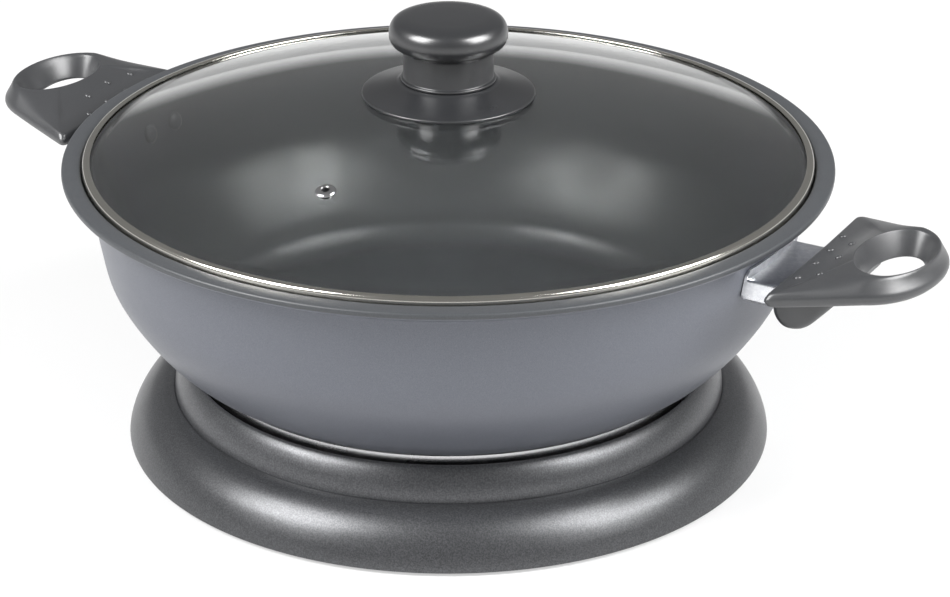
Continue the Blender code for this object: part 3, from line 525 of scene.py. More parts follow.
def wall_line(parts):
    """The bowl's outer wall from the neck down to the step."""
    corners = [
        Vector((FOOT_RADIUS + (NECK_RADIUS - FOOT_RADIUS) * out, STEP_TOP + (NECK - STEP_TOP) * up))
        for up, out in zip(WALL_RISE, WALL_SPREAD)
    ]
    return along(corners[::-1], parts)


def wall_radius(height):
    """The outer wall's radius at a height."""
    line = wall_line(12)
    for high, low in zip(line, line[1:]):
        if low.y <= height <= high.y:
            return low.x + (high.x - low.x) * (height - low.y) / (high.y - low.y)
    return line[0].x if height > line[0].y else line[-1].x


def bowl_profile():
    outside = wall_line(8)
    inside = [p for p in beside(outside, WALL) if p.y > FLOOR + 8 * MM][::-1]
    corner = Vector((inside[0].x - 5.5 * MM, FLOOR))
    bend = [Vector((0.0, FLOOR)), Vector((0.04, FLOOR)), Vector((0.08, FLOOR))]
    flat = corner - Vector((8 * MM, 0.0))
    for part in range(10):
        t = part / 10
        bend.append(flat * (1 - t) ** 2 + corner * 2 * t * (1 - t) + inside[0] * t**2)
    brim = eased([
        tuple(inside[-2]),
        (NECK_RADIUS - WALL, LEDGE, 0.9 * MM),
        (RECESS_RADIUS - 0.6 * MM, LEDGE, 0.5 * MM),
        (RECESS_RADIUS, RIM_TOP, 0.7 * MM),
        (RIM_RADIUS, RIM_TOP, 1.3 * MM),
        (RIM_RADIUS, RIM_TOP - 3.0 * MM, 1.2 * MM),
        (RECESS_RADIUS + WALL, RIM_TOP - 3.6 * MM, 2.0 * MM),
        (RECESS_RADIUS, LEDGE - WALL, 2.4 * MM),
        tuple(outside[1]),
    ])
    foot = eased([
        tuple(outside[-2]),
        (FOOT_RADIUS + 1.2 * MM, STEP_TOP, 0.4 * MM),
        (FOOT_RADIUS, STEP_TOP - 0.8 * MM, 0.5 * MM),
        (FOOT_RADIUS, SEAT, 0.9 * MM),
        (FOOT_RADIUS - 11 * MM, SEAT, 0.5 * MM),
        (FOOT_RADIUS - 11 * MM, UNDERSIDE, 0.5 * MM),
        (0.0637, UNDERSIDE, 0.3 * MM),
    ])
    groove = [
        Vector((0.060 + 3.55 * MM * math.cos(a), 0.0341 + 3.55 * MM * math.sin(a)))
        for a in [math.radians(8 + 164 * part / 14) for part in range(15)]
    ]
    last = [Vector((0.0563, UNDERSIDE)), Vector((0.03, UNDERSIDE)), Vector((0.0, UNDERSIDE))]
    return bend + inside[:-2] + brim[:-1] + outside[1:-2] + foot + groove + last


def bowl_zone(face):
    """Which finish a part of the bowl has: 0 paint, 1 coating, 2 turned step, 3 bare casting."""
    middle = face.calc_center_median()
    radius, height = Vector(middle[:2]).length, middle.z
    if height < UNDERSIDE + 3.2 * MM and radius < FOOT_RADIUS - 0.2 * MM:
        return 3
    if height < STEP_TOP and radius > FOOT_RADIUS - 1.2 * MM:
        return 2
    if radius > RECESS_RADIUS - 0.7 * MM:
        return 0 if face.normal.z < -0.2 else 1
    return 0 if radius > wall_radius(height) - WALL / 2 else 1


def make_bowl():
    shape = lathe(bowl_profile(), 192)
    for face in shape.faces:
        face.material_index = bowl_zone(face)
    bowl = piece("bowl", shape, PAINT, NON_STICK, POLISHED, CAST)
    fits(bowl, "pan", "metallic_paint", "pan_bowl")


def loose_copy(name, source, look, body, slot, width=0.0):
    """A cleaned copy of a solid, smooth where the solid is round, with soft edges."""
    shape = bmesh.new()
    shape.from_mesh(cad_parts[source].data)
    bmesh.ops.remove_doubles(shape, verts=shape.verts, dist=0.002 * MM)
    bmesh.ops.dissolve_limit(
        shape, angle_limit=math.radians(0.5), verts=shape.verts, edges=shape.edges
    )
    made = piece(name, shape, look, degrees=50)
    made.data.materials.clear()
    made.data.materials.append(look)
    if width:
        soften(made, width)
    return fits(made, body, slot, source)


def pin_shape(radius, start, end):
    """A round pin along Y with a rounded tip."""
    long = end - start
    shape = lathe(eased([
        (0.0, 0.0), (radius, 0.0), (radius, long, radius * 0.9), (0.0, long),
    ], 5), 32)
    bmesh.ops.rotate(
        shape, cent=(0, 0, 0), matrix=Matrix.Rotation(-math.pi / 2, 3, "X"), verts=shape.verts
    )
    return shape


def make_inlet():
    loose_copy("element", "heating_element", ELEMENT, "pan", "steel")
    loose_copy("socket", "socket_shroud", SOCKET_PLASTIC, "pan", "socket_plastic")
    loose_copy("terminal_plate", "terminal_block", CERAMIC, "pan", "ceramic", 0.25 * MM)
    loose_copy("probe_tube", "probe_sleeve", STEEL, "pan", "steel", 0.15 * MM)
    for source in ("terminal_pin_1", "terminal_pin_2", "earth_pin"):
        low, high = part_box(source)
        shape = pin_shape((high.x - low.x) / 2, low.y, high.y)
        place = Vector(((low.x + high.x) / 2, low.y, (low.z + high.z) / 2))
        bmesh.ops.translate(shape, vec=place, verts=shape.verts)
        fits(piece(source + "_turned", shape, PIN_METAL), "pan", "nickel_pin", source)


# The base


SKIRT_OUT = (0.0, 0.26, 0.50, 0.72, 0.885, 0.975, 1.0)
SKIRT_FALL = (0.0, 0.055, 0.175, 0.375, 0.63, 0.86, 1.0)
COLLAR_OUT = (0.10, 0.26, 0.52, 0.78, 0.94, 1.0)
COLLAR_FALL = (0.0, 0.04, 0.20, 0.45, 0.72, 1.0)
PLATE_TOP, PLATE_BOTTOM, PLATE_RADIUS = 0.0053, 0.0033, 0.1417
TUNNEL_HALF, TUNNEL_TOP = 0.026, 0.0330


def tunnel():
    return box_shape(
        (-TUNNEL_HALF, WELL_RADIUS - TUNNEL_HALF, PLATE_TOP),
        (TUNNEL_HALF, BASE_RADIUS + 4 * MM, TUNNEL_TOP),
    )


def make_skirt():
    corners = [
        Vector((CREASE_RADIUS + (BASE_RADIUS - CREASE_RADIUS) * out, SKIRT_TOP - 0.022 * down))
        for out, down in zip(SKIRT_OUT, SKIRT_FALL)
    ]
    outside = along(corners, 8)
    inside = beside(outside, 2.6 * MM)
    lower = [p for p in inside if p.y > 2.2 * MM]
    edge = eased([
        tuple(outside[-3]),
        (BASE_RADIUS, 1.5 * MM, 0.6 * MM),
        (BASE_RADIUS - 2.6 * MM, 1.5 * MM, 0.6 * MM),
        tuple(lower[-1]),
    ])
    top = eased([
        (CREASE_RADIUS - 2.6 * MM, DECK_BOTTOM),
        (WELL_RADIUS + 2.6 * MM, DECK_BOTTOM, 0.8 * MM),
        (WELL_RADIUS + 2.6 * MM, PLATE_TOP + GAP),
        (WELL_RADIUS, PLATE_TOP + GAP),
        (WELL_RADIUS, DECK_TOP, 0.8 * MM),
        (CREASE_RADIUS - 0.4 * MM, DECK_TOP, 0.2 * MM),
        (CREASE_RADIUS - 0.2 * MM, SKIRT_TOP - 0.3 * MM, 0.2 * MM),
        tuple(outside[1]),
    ])
    profile = outside[1:-3] + edge + lower[-2:1:-1] + top[:-1]
    skirt = piece("skirt", lathe(profile, 192, closed=True), BASE_PLASTIC)
    envelope = lathe([
        Vector((0.0, DECK_TOP)), Vector((CREASE_RADIUS, DECK_TOP)), *outside[8:],
        Vector((0.0, 1.5 * MM)),
    ], 192)
    duct = piece("duct", box_shape(
        (-TUNNEL_HALF - 2.4 * MM, WELL_RADIUS + 1.3 * MM, PLATE_TOP + GAP),
        (TUNNEL_HALF + 2.4 * MM, BASE_RADIUS + 2 * MM, DECK_TOP),
    ))
    carve(duct, ("INTERSECT", envelope))
    walls = bmesh.new()
    walls.from_mesh(duct.data)
    bpy.data.objects.remove(duct, do_unlink=True)
    carve(skirt, ("UNION", walls), ("DIFFERENCE", tunnel()))
    fits(skirt, "base", "base_plastic", "base_skirt")


def make_collar():
    top, foot, lip = 0.0380, DECK_TOP + GAP, FOOT_RADIUS + 1.6 * MM
    corners = [
        Vector((lip + 7.8 * MM * out, top - (top - foot) * down))
        for out, down in zip(COLLAR_OUT, COLLAR_FALL)
    ]
    outside = along(corners, 8)
    inside = [p for p in beside(outside, 2.4 * MM) if p.y < top - 2.6 * MM]
    foot_edge = eased([
        tuple(outside[-2]),
        (lip + 7.8 * MM, foot, 0.3 * MM),
        (lip + 5.4 * MM, foot, 0.3 * MM),
        tuple(inside[-3]),
    ])
    lip_edge = eased([
        tuple(inside[0]),
        (lip, top - 2.4 * MM, 0.5 * MM),
        (lip, top - 0.7 * MM, 0.6 * MM),
        tuple(outside[0]),
    ])
    profile = outside[:-2] + foot_edge + inside[-4::-1] + lip_edge[1:-1]
    collar = piece("collar", lathe(profile, 192, closed=True), COLLAR_PLASTIC)
    carve(collar, ("DIFFERENCE", tunnel()))
    fits(collar, "base", "collar_plastic", "collar_ring")


def slot_shape(degrees):
    """A vent slot with round ends, across the bottom plate."""
    shape = bmesh.new()
    bmesh.ops.create_cone(
        shape, cap_ends=True, segments=32, radius1=2 * MM, radius2=2 * MM, depth=6 * MM
    )
    for side in (-1, 1):
        half = [v for v in shape.verts if v.co.y * side > 0.01 * MM]
        bmesh.ops.translate(shape, vec=(0, side * 10 * MM, 0), verts=half)
    turn = Matrix.Rotation(math.radians(degrees), 4, "Z")
    place = Matrix.Translation(polar(PAD_RING, degrees, (PLATE_TOP + PLATE_BOTTOM) / 2))
    bmesh.ops.transform(shape, matrix=place @ turn, verts=shape.verts)
    return shape


def make_bottom():
    profile = eased([
        (0.0, PLATE_TOP), (PLATE_RADIUS, PLATE_TOP, 0.3 * MM),
        (PLATE_RADIUS, PLATE_BOTTOM, 0.5 * MM),
        (0.1340, PLATE_BOTTOM, 0.3 * MM), (0.1335, PLATE_BOTTOM + 0.6 * MM, 0.3 * MM),
        (0.1315, PLATE_BOTTOM + 0.6 * MM, 0.3 * MM), (0.1310, PLATE_BOTTOM, 0.3 * MM),
        (0.0640, PLATE_BOTTOM, 0.3 * MM), (0.0635, PLATE_BOTTOM + 0.6 * MM, 0.3 * MM),
        (0.0615, PLATE_BOTTOM + 0.6 * MM, 0.3 * MM), (0.0610, PLATE_BOTTOM, 0.3 * MM),
        (0.0, PLATE_BOTTOM),
    ], 3)
    plate = piece("bottom_plate", lathe(profile, 160), UNDER_PLASTIC)
    carve(plate, *[("DIFFERENCE", slot_shape(a)) for a in (0, 68, 112, 180, 248, 270, 292)])
    fits(plate, "base", "base_plastic", "base_bottom_plate")
    sheet, low = 0.8 * MM, 5.6 * MM
    inner = 0.0836
    dish = eased([
        (0.0, low + sheet), (inner - 1.6 * MM, low + sheet, 1.2 * MM),
        (0.0858, low + 12 * MM, 0.2 * MM), (0.0866, low + 12 * MM, 0.2 * MM),
        (inner - 0.4 * MM, low, 1.6 * MM), (0.0, low),
    ], 4)
    shield = piece("shield", lathe(dish, 128), SHEET)
    carve(shield, ("DIFFERENCE", tunnel()))
    fits(shield, "base", "bare_aluminium", "heat_shield")
    for number in range(1, 5):
        degrees = 90 * number - 45
        foot = lathe(eased([
            (0.0, 3.0 * MM), (9.0 * MM, 3.0 * MM, 0.3 * MM), (9.0 * MM, 0.9 * MM, 0.5 * MM),
            (8.2 * MM, 0.0, 0.5 * MM), (5.0 * MM, 0.0, 0.2 * MM), (4.6 * MM, 0.4 * MM, 0.2 * MM),
            (0.0, 0.4 * MM),
        ], 3), 48)
        bmesh.ops.translate(foot, vec=polar(PLATE_RADIUS - 0.026, degrees), verts=foot.verts)
        fits(piece(f"rubber_foot_{number}", foot, RUBBER), "base", "rubber", f"foot_{number}")
        pad = lathe(eased([
            (0.0, 7.5 * MM), (6.0 * MM, 7.5 * MM, 1.5 * MM), (6.0 * MM, 0.0, 0.3 * MM),
            (2.5 * MM, 0.0), (2.5 * MM, -4.1 * MM, 0.6 * MM), (0.0, -4.1 * MM),
        ], 4), 40)
        bmesh.ops.translate(pad, vec=polar(PAD_RING, degrees, DECK_TOP + GAP), verts=pad.verts)
        fits(piece(f"pad_{number}", pad, SILICONE), "base", "silicone", f"support_pad_{number}")


def screw_head(radius, height, tail):
    """A screw with a crowned head and a cross in it, on the origin, with its head up."""
    made = piece("head", lathe(eased([
        (0.0, height), (radius * 0.72, height, radius * 0.3), (radius, height * 0.35, height * 0.3),
        (radius, 0.0, height * 0.1), (1.6 * MM, 0.0), (1.6 * MM, -tail), (0.0, -tail),
    ], 4), 40))
    reach, thick = radius * 0.55, radius * 0.11
    carve(
        made,
        ("DIFFERENCE", box_shape((-reach, -thick, height * 0.35), (reach, thick, 2 * height))),
        ("DIFFERENCE", box_shape((-thick, -reach, height * 0.35), (thick, reach, 2 * height))),
    )
    shape = bmesh.new()
    shape.from_mesh(made.data)
    bpy.data.objects.remove(made, do_unlink=True)
    return shape


def make_screws():
    """Every visible screw, each in its solid's place."""
    groups = (
        ("base", 3.2, 1.6, 2.0, True, [f"bottom_screw_{n}" for n in (1, 2, 3, 4)]),
        ("base", 3.2, 0.8, 2.0, False, [f"shield_screw_{n}" for n in (1, 2, 3)]),
        ("pan", 3.2, 1.6, 2.4, True, ["shroud_screw_1", "shroud_screw_2"]),
        ("pan", 3.2, 1.6, 3.0, True, ["grip_screw_left", "grip_screw_right"]),
        ("lid", 5.0, 2.0, 3.0, True, ["knob_screw"]),
    )
    for body, radius, height, tail, down, sources in groups:
        for source in sources:
            low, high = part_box(source)
            shape = screw_head(radius * MM, height * MM, tail * MM)
            seat = low.z + height * MM if down else high.z - height * MM
            if down:
                bmesh.ops.rotate(
                    shape, cent=(0, 0, 0), matrix=Matrix.Rotation(math.pi, 3, "X"),
                    verts=shape.verts,
                )
            place = Vector(((low.x + high.x) / 2, (low.y + high.y) / 2, seat))
            bmesh.ops.translate(shape, vec=place, verts=shape.verts)
            fits(piece(source + "_cross", shape, STEEL), body, "steel", source)


# The lid


def dome(radius, lower=0.0):
    curved = min(radius, BAND_INNER - GAP)
    return Vector((radius, DOME_TOP - lower - curved**2 / (2 * DOME_RADIUS)))


def make_lid():
    radii = [2.7 * MM + (BAND_INNER - GAP - 2.7 * MM) * part / 28 for part in range(29)]
    radii.append(GLASS_RADIUS - 0.5 * MM)
    upper = [dome(r) for r in radii]
    lower = [dome(r, GLASS_THICKNESS) for r in radii]
    side = [
        dome(GLASS_RADIUS) - Vector((0.0, 0.6 * MM)),
        dome(GLASS_RADIUS, GLASS_THICKNESS) + Vector((0.0, 0.6 * MM)),
    ]
    pane = piece("glass_dome", lathe(upper + side + lower[::-1], 192, closed=True), GLASS)
    slope = math.asin(VENT_REACH / DOME_RADIUS)
    up = Vector((0.0, -math.sin(slope), math.cos(slope)))
    top = Vector((0.0, -VENT_REACH, dome(VENT_REACH).y))
    carve(pane, ("DIFFERENCE", rod_shape(2.9 * MM, top - up * 6 * MM, top + up * 3 * MM)))
    fits(pane, "lid", "glass", "lid_glass")
    band = eased([
        (BAND_INNER, 0.1345, 0.5 * MM),
        (0.1590, 0.1349, 1.2 * MM),
        (0.1610, 0.1340, 1.5 * MM),
        (0.1610, 0.1290, 0.8 * MM),
        (BAND_INNER, 0.1290, 0.3 * MM),
        (BAND_INNER, 0.1297, 0.3 * MM),
        (0.1603, 0.1297, 0.4 * MM),
        (0.1603, 0.1339, 0.5 * MM),
        (BAND_INNER, 0.1339, 0.3 * MM),
    ], 5, closed=True)
    rolled = piece("rolled_band", lathe(band, 192, closed=True), BAND_STEEL)
    fits(rolled, "lid", "steel", "lid_band")
    eyelet = lathe(eased([
        (1.85 * MM, 1.1 * MM, 0.4 * MM), (2.8 * MM, 1.1 * MM, 0.5 * MM),
        (4.2 * MM, 0.8 * MM, 0.6 * MM), (4.6 * MM, 0.0, 0.1 * MM), (2.6 * MM, 0.0),
        (2.6 * MM, -3.9 * MM, 0.2 * MM), (1.85 * MM, -3.9 * MM, 0.2 * MM),
    ], 5, closed=True), 48, closed=True)
    turn = up.to_track_quat("Z", "Y").to_matrix().to_4x4()
    place = Matrix.Translation(top + up * GAP)
    bmesh.ops.transform(eyelet, matrix=place @ turn, verts=eyelet.verts)
    fits(piece("eyelet", eyelet, STEEL), "lid", "steel", "vent_eyelet")
    make_knob()


def make_knob():
    edge = dome(0.039).y + GAP + 1.4 * MM
    seat = edge + 5.2 * MM
    bore = 2.4 * MM
    skirt = eased([
        (bore, seat), (0.0213, seat, 0.8 * MM), (0.0226, seat - 0.8 * MM, 0.9 * MM),
        (0.0300, (seat + edge) / 2 - 0.7 * MM, 4 * MM), (0.0364, edge + 0.1 * MM, 0.8 * MM),
        (0.0380, edge - 0.4 * MM, 0.5 * MM), (0.0380, dome(0.038).y + GAP, 0.3 * MM),
    ], 6)
    skirt += [dome(0.037 - 0.004 * part, -GAP) for part in range(9)] + [dome(bore, -GAP)]
    fits(
        piece("knob_disc", lathe(skirt, 128, closed=True), KNOB_PLASTIC),
        "lid", "knob_plastic", "knob_skirt",
    )
    foot = seat + GAP
    crown = edge + 34.6 * MM
    corners = [
        Vector((26.0 * MM * out, crown - 13.8 * MM * down))
        for out, down in (
            (0.0, 0.0), (0.28, 0.004), (0.50, 0.016), (0.70, 0.040), (0.84, 0.10), (0.93, 0.21),
            (0.985, 0.40), (1.0, 0.64), (0.975, 0.82), (0.92, 0.94), (0.83, 1.0),
        )
    ]
    turned = along(corners, 6)
    cap = crown - 13.8 * MM
    stem = eased([
        tuple(turned[-2]), tuple(turned[-1]), (0.0198, cap - 1.0 * MM, 1.2 * MM),
        (0.0198, foot + 1.3 * MM, 0.4 * MM), (0.0209, foot + 1.0 * MM, 0.4 * MM),
        (0.0209, foot, 0.3 * MM), (bore, foot), (bore, foot + 10 * MM), (0.0, foot + 10 * MM),
    ], 5)
    knob = piece("knob_turned", lathe(turned[:-2] + stem, 128), KNOB_PLASTIC)
    fits(knob, "lid", "knob_plastic", "knob")
    low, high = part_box("knob_washer")
    washer = lathe(eased([
        (bore, high.z), (9 * MM, high.z, 0.4 * MM), (9 * MM, low.z, 0.4 * MM), (bore, low.z),
    ], 4, closed=True), 48, closed=True)
    fits(piece("washer", washer, SILICONE), "lid", "silicone", "knob_washer")


# The handles


def reach_of_oval(way, long, wide):
    return 1 / math.hypot(way.x / long, way.y / wide)


def grip_outline():
    """The grip from above: a straight inner edge whose sides run into an oval ring."""
    corner = Vector((GRIP_START, GRIP_HALF))
    seen = Vector(((GRIP_START - RING_CENTRE) / RING_LONG, GRIP_HALF / RING_WIDE))
    touch = math.atan2(seen.y, seen.x) - math.acos(1 / seen.length)
    ring = [
        Vector((
            RING_CENTRE + RING_LONG * math.cos(touch * part / 26),
            RING_WIDE * math.sin(touch * part / 26),
        ))
        for part in range(27)
    ]
    before = corner + (ring[-1] - corner).normalized() * 3.6 * MM
    after = corner - Vector((0.0, 3.6 * MM))
    side = [ring[-1].lerp(before, part / 9) for part in range(1, 9)]
    bend = [
        before * (1 - t) ** 2 + corner * 2 * t * (1 - t) + after * t**2
        for t in [part / 6 for part in range(7)]
    ]
    inner = [after.lerp(Vector((GRIP_START, 0.0)), part / 12) for part in range(1, 13)]
    half = ring + side + bend + inner
    return half + [Vector((point.x, -point.y)) for point in half[-2:0:-1]]


def grip_section(edge):
    """The outline of the grip's solid, upright, from the finger hole out to an edge point."""
    centre = Vector((HOLE_CENTRE, 0.0))
    way = (edge - centre).normalized()
    inner = reach_of_oval(way, HOLE_LONG - 5 * MM, HOLE_WIDE - 5 * MM)
    rim = reach_of_oval(way, HOLE_LONG, HOLE_WIDE)
    outer = (edge - centre).length
    share = min(1.0, (edge.x - GRIP_START) / (HOLE_CENTRE - GRIP_START))
    tip = max(0.0, way.x)
    flank = min(1.0, (edge.x - GRIP_START) / (4 * MM))
    top = GRIP_TOP + (RING_TOP - GRIP_TOP) * share
    low = top - 6.2 * MM - 2.8 * MM * share
    inset = outer - 2.6 * MM - 1.2 * MM * share
    swell = -1.7 * MM + 2.0 * MM * flank + 1.5 * MM * share**2
    corners = [
        (inner - 3 * MM * tip**2, RING_TOP - 8.0 * MM, 0.6 * MM + 2 * MM * tip),
        (rim, HOLE_RIM, 0.4 * MM + 4.5 * MM * tip),
        ((rim + inset) / 2, (HOLE_RIM + top) / 2 + swell, 6 * MM),
        (inset, top, 1.2 * MM + 5.5 * MM * share**2),
        (outer, (top + low) / 2 - 0.8 * MM * share, 1.2 * MM + 1.5 * MM * share),
        (inset, low, 1.6 * MM),
    ]
    return [(*(centre + way * p.x), p.y) for p in eased(corners, 4, closed=True)]


def grip_shape():
    """The grip's upright sections all round the finger hole, bridged one to the next."""
    shape = bmesh.new()
    loops = []
    for edge in grip_outline():
        points = [shape.verts.new(point) for point in grip_section(edge)]
        loops.append([shape.edges.new((points[i - 1], points[i])) for i in range(len(points))])
    for near, far in zip(loops, loops[1:] + loops[:1]):
        bmesh.ops.bridge_loops(shape, edges=near + far)
    bmesh.ops.recalc_face_normals(shape, faces=shape.faces)
    return shape


PIPS = ((0.1812, -28.0), (0.1818, -11.0), (0.1815, 4.5), (0.1800, 21.0),
        (0.1898, -25.5), (0.1906, -8.5), (0.1892, 9.0))


def pip_shapes(tree):
    """Seven low pips on the grip's flat patch, on its surface."""
    shapes = []
    for x, y in PIPS:
        spot, normal, _, _ = tree.ray_cast(Vector((x, y * MM, 0.2)), Vector((0, 0, -1)))
        shape = bmesh.new()
        bmesh.ops.create_uvsphere(shape, u_segments=20, v_segments=12, radius=1.0)
        bmesh.ops.scale(shape, vec=(1.5 * MM, 1.7 * MM, 1.0 * MM), verts=shape.verts)
        turn = normal.to_track_quat("Z", "Y").to_matrix().to_4x4()
        bmesh.ops.transform(
            shape, matrix=Matrix.Translation(spot - normal * 0.15 * MM) @ turn, verts=shape.verts
        )
        shapes.append(shape)
    return shapes


def boss_shape():
    """The solid boss under the grip, before the pocket for the bracket's sleeve is cut."""
    start = GRIP_START - 6 * MM
    low = [
        (start + 30.8 * MM * out, GRIP_TOP - 24.4 * MM * down)
        for out, down in zip((0.0, 0.05, 0.17, 0.33, 0.52, 0.72, 0.92),
                             (0.50, 0.80, 0.97, 1.0, 0.91, 0.66, 0.38))
    ]
    under = along([Vector(p) for p in low], 5)
    outline = under + [
        Vector((start + 30.8 * MM, GRIP_TOP)), Vector((GRIP_START + 12 * MM, GRIP_TOP - 1.5 * MM)),
        Vector((GRIP_START + 0.6 * MM, GRIP_TOP - 5.4 * MM)),
    ]
    shape = bmesh.new()
    ring = [shape.verts.new((p.x, -26.2 * MM, p.y)) for p in outline]
    face = shape.faces.new(ring)
    moved = bmesh.ops.extrude_face_region(shape, geom=[face])["geom"]
    far = [v for v in moved if isinstance(v, bmesh.types.BMVert)]
    bmesh.ops.translate(shape, vec=(0, 52.4 * MM, 0), verts=far)
    bmesh.ops.recalc_face_normals(shape, faces=shape.faces)
    rims = [e for e in shape.edges if e.calc_face_angle(0.0) > math.radians(60)]
    bmesh.ops.bevel(
        shape, geom=rims, offset=3 * MM, segments=5, profile=0.5, affect="EDGES", material=-1
    )
    return shape


def bracket_shape():
    """A flat sleeve, a solid block with softly rounded edges."""
    low = SLEEVE_TOP - SLEEVE_HEIGHT
    return box_shape(
        (wall_radius(low) - 10 * MM, -SLEEVE_HALF, low),
        (GRIP_START + 9 * MM, SLEEVE_HALF, SLEEVE_TOP), 1.4 * MM, 4,
    )


def wall_stretch(distance):
    """The wall's line behind a bracket, from the top down, at a distance from the wall."""
    low, high = SLEEVE_TOP - 20 * MM, SLEEVE_TOP + 10 * MM
    heights = [high - (high - low) * part / 12 for part in range(13)]
    return [Vector((wall_radius(z) + distance, z)) for z in heights]


def wall_shell(near, far):
    """A shell round the bowl's wall, between two distances from it."""
    return lathe(wall_stretch(far) + wall_stretch(near)[::-1], 192, closed=True)


def wall_plate():
    """The bracket's plate as a flat block with round corners, before it is trimmed to the bowl's
    wall.
    """
    shape = box_shape((0.14, -SLEEVE_HALF, RIVET_HEIGHT - 7.2 * MM),
                      (0.19, SLEEVE_HALF, RIVET_HEIGHT + 6.8 * MM))
    sides = [e for e in shape.edges if abs(e.verts[0].co.x - e.verts[1].co.x) > 10 * MM]
    bmesh.ops.bevel(
        shape, geom=sides, offset=3.2 * MM, segments=6, profile=0.5, affect="EDGES", material=-1
    )
    return shape


def wall_solid():
    """The bowl's outside up to the middle of the brackets' plates, to trim a sleeve with."""
    side = wall_stretch(1.4 * MM)
    return lathe([Vector((0.0, side[0].y)), *side, Vector((0.0, side[-1].y))], 192)


def make_handle(side):
    def placed(shape):
        return mirrored(shape) if side == "left" else shape

    shape = grip_shape()
    tree = BVHTree.FromBMesh(shape)
    pips = pip_shapes(tree)
    grip = piece(f"grip_{side}", placed(shape), GRIP_PLASTIC, degrees=40)
    fits(grip, "pan", "grip_plastic", f"handle_grip_{side}")
    for number, pip in enumerate(pips, 1):
        made = piece(f"grip_pip_{side}_{number}", placed(pip), GRIP_PLASTIC)
        fits(made, "pan", "grip_plastic")
    low = GRIP_TOP - 24.4 * MM
    boss = piece(f"grip_boss_{side}", placed(boss_shape()), GRIP_PLASTIC)
    pocket = box_shape(
        (GRIP_START - 12 * MM, -SLEEVE_HALF - GAP, SLEEVE_TOP - SLEEVE_HEIGHT - GAP),
        (GRIP_START + 9 * MM + GAP, SLEEVE_HALF + GAP, SLEEVE_TOP + GAP),
    )
    well = rod_shape(3.5 * MM, (0.180, 0.0, low - 2 * MM), (0.180, 0.0, low + 2.5 * MM), 32)
    carve(boss, ("DIFFERENCE", placed(pocket)), ("DIFFERENCE", placed(well)))
    fits(boss, "pan", "grip_plastic")
    sleeve = piece(f"sleeve_{side}", placed(bracket_shape()), ALUMINIUM)
    carve(sleeve, ("DIFFERENCE", wall_solid()))
    fits(sleeve, "pan", "bare_aluminium", f"handle_bracket_{side}")
    plate = piece(f"wall_plate_{side}", placed(wall_plate()), ALUMINIUM)
    carve(plate, ("INTERSECT", wall_shell(GAP, 1.5 * MM)))
    soften(plate, 0.35 * MM)
    fits(plate, "pan", "bare_aluminium")
    outer = wall_radius(RIVET_HEIGHT)
    above, below = wall_radius(RIVET_HEIGHT + WALL / 2), wall_radius(RIVET_HEIGHT - WALL / 2)
    lean = math.atan2(above - below, WALL)
    for number, turn in enumerate((-1, 1), 1):
        degrees = math.degrees(math.asin(10 * MM / outer)) * turn
        inward = -polar(math.cos(lean), degrees) + Vector((0, 0, math.sin(lean)))
        seat = polar(outer, degrees, RIVET_HEIGHT) + inward * (WALL + 0.4 * MM)
        head = lathe(eased([
            (0.0, 2.1 * MM), (2.4 * MM, 2.1 * MM, 1.6 * MM), (4.2 * MM, 0.7 * MM, 0.9 * MM),
            (4.2 * MM, -0.6 * MM), (0.0, -0.6 * MM),
        ], 6), 48)
        spin = inward.to_track_quat("Z", "Y").to_matrix().to_4x4()
        bmesh.ops.transform(head, matrix=Matrix.Translation(seat) @ spin, verts=head.verts)
        made = piece(f"rivet_{side}_{number}", placed(head), NON_STICK)
        fits(made, "pan", "bare_aluminium", f"bracket_rivet_{side}_{number}")


make_bowl()
make_inlet()
make_skirt()
make_collar()
make_bottom()
make_screws()
make_lid()
make_handle("right")
make_handle("left")


# Floor, light and camera


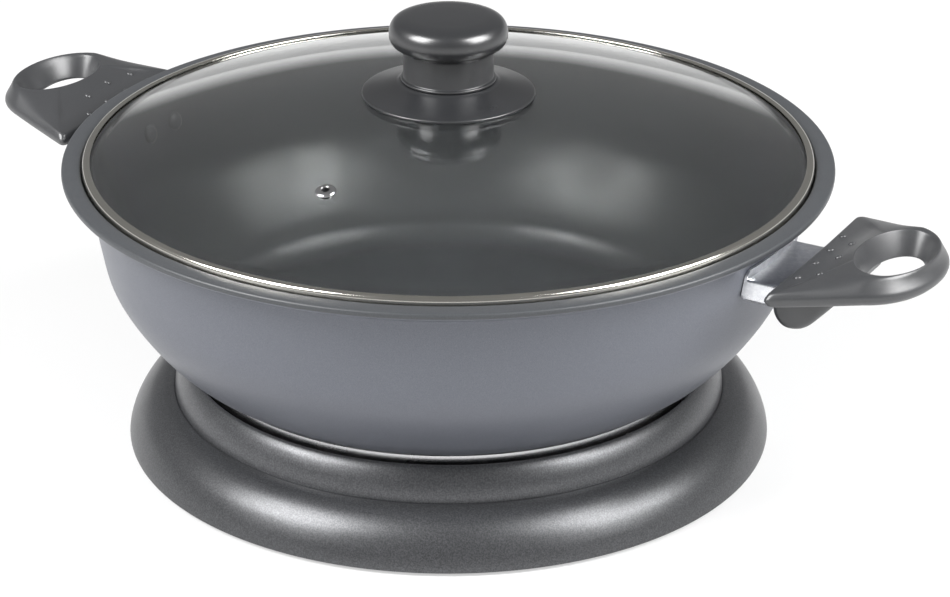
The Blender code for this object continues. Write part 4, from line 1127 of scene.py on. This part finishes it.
def backdrop():
    """A pale floor, seen as nearly white, that keeps the shadow."""
    shape = bmesh.new()
    bmesh.ops.create_grid(shape, x_segments=1, y_segments=1, size=30.0)
    made = bpy.data.materials.new("pale_floor")
    made.use_nodes = True
    tree = made.node_tree
    shader = tree.nodes["Principled BSDF"]
    shader.inputs["Base Color"].default_value = (0.74, 0.74, 0.74, 1.0)
    shader.inputs["Roughness"].default_value = 0.9
    shader.inputs["Specular IOR Level"].default_value = 0.0
    glow = node(tree, "ShaderNodeEmission", {"Color": (1.0, 1.0, 1.0, 1.0), "Strength": 1.0})
    path = node(tree, "ShaderNodeLightPath")
    seen = node(tree, "ShaderNodeMath", {
        0: path.outputs["Is Camera Ray"], 1: path.outputs["Is Glossy Ray"],
    }, operation="MAXIMUM")
    either = node(tree, "ShaderNodeMath", {
        0: seen.outputs[0], 1: path.outputs["Is Transmission Ray"],
    }, operation="MAXIMUM")
    part = node(tree, "ShaderNodeMath", {0: either.outputs[0], 1: 0.55}, operation="MULTIPLY")
    mixed = node(tree, "ShaderNodeMixShader", {
        0: part.outputs[0], 1: shader.outputs[0], 2: glow.outputs[0],
    })
    tree.links.new(mixed.outputs[0], tree.nodes["Material Output"].inputs["Surface"])
    floor = piece("floor", shape, made)


def studio():
    """A pale horizon under a dimmer ceiling, as in a studio."""
    world = bpy.data.worlds.new("studio")
    bpy.context.scene.world = world
    world.use_nodes = True
    tree = world.node_tree
    ground = tree.nodes["Background"]
    ground.inputs["Color"].default_value = (1.0, 1.0, 1.0, 1.0)
    way = node(tree, "ShaderNodeTexCoord")
    parts = node(tree, "ShaderNodeSeparateXYZ", {0: way.outputs["Generated"]})
    level = scaled(tree, parts.outputs["Z"], 0.02, 0.12, 1.0, 0.22)
    tree.links.new(level, ground.inputs["Strength"])


def lamp(name, degrees, up, distance, size, power):
    """A square soft lamp round the object, aimed at its middle."""
    light = bpy.data.lights.new(name, "AREA")
    light.size = size
    light.energy = power
    made = bpy.data.objects.new(name, light)
    bpy.context.scene.collection.objects.link(made)
    rise = math.radians(up)
    flat = polar(distance * math.cos(rise), degrees)
    made.location = flat + Vector((0, 0, distance * math.sin(rise) + 0.07))
    made.rotation_mode = "QUATERNION"
    made.rotation_quaternion = (Vector((0, 0, 0.07)) - made.location).to_track_quat("-Z", "Y")


def camera():
    lens = bpy.data.cameras.new("camera")
    lens.lens = 118.69
    lens.sensor_width = 36.0
    lens.clip_start, lens.clip_end = 0.01, 100.0
    made = bpy.data.objects.new("camera", lens)
    bpy.context.scene.collection.objects.link(made)
    right = Vector((0.870073, 0.492918, 0.002289))
    up = Vector((-0.206952, 0.361076, 0.909283))
    back = Vector((0.447376, -0.791616, 0.416173))
    turn = Matrix((right, up, back)).transposed().to_4x4()
    made.matrix_world = Matrix.Translation((0.642175, -1.112280, 0.64906)) @ turn
    bpy.context.scene.camera = made


backdrop()
studio()
lamp("left_lamp", -125, 42, 1.5, 0.8, 36.0)
lamp("right_lamp", 8, 40, 1.5, 0.9, 38.0)
camera()
bpy.context.scene.view_settings.view_transform = "Standard"
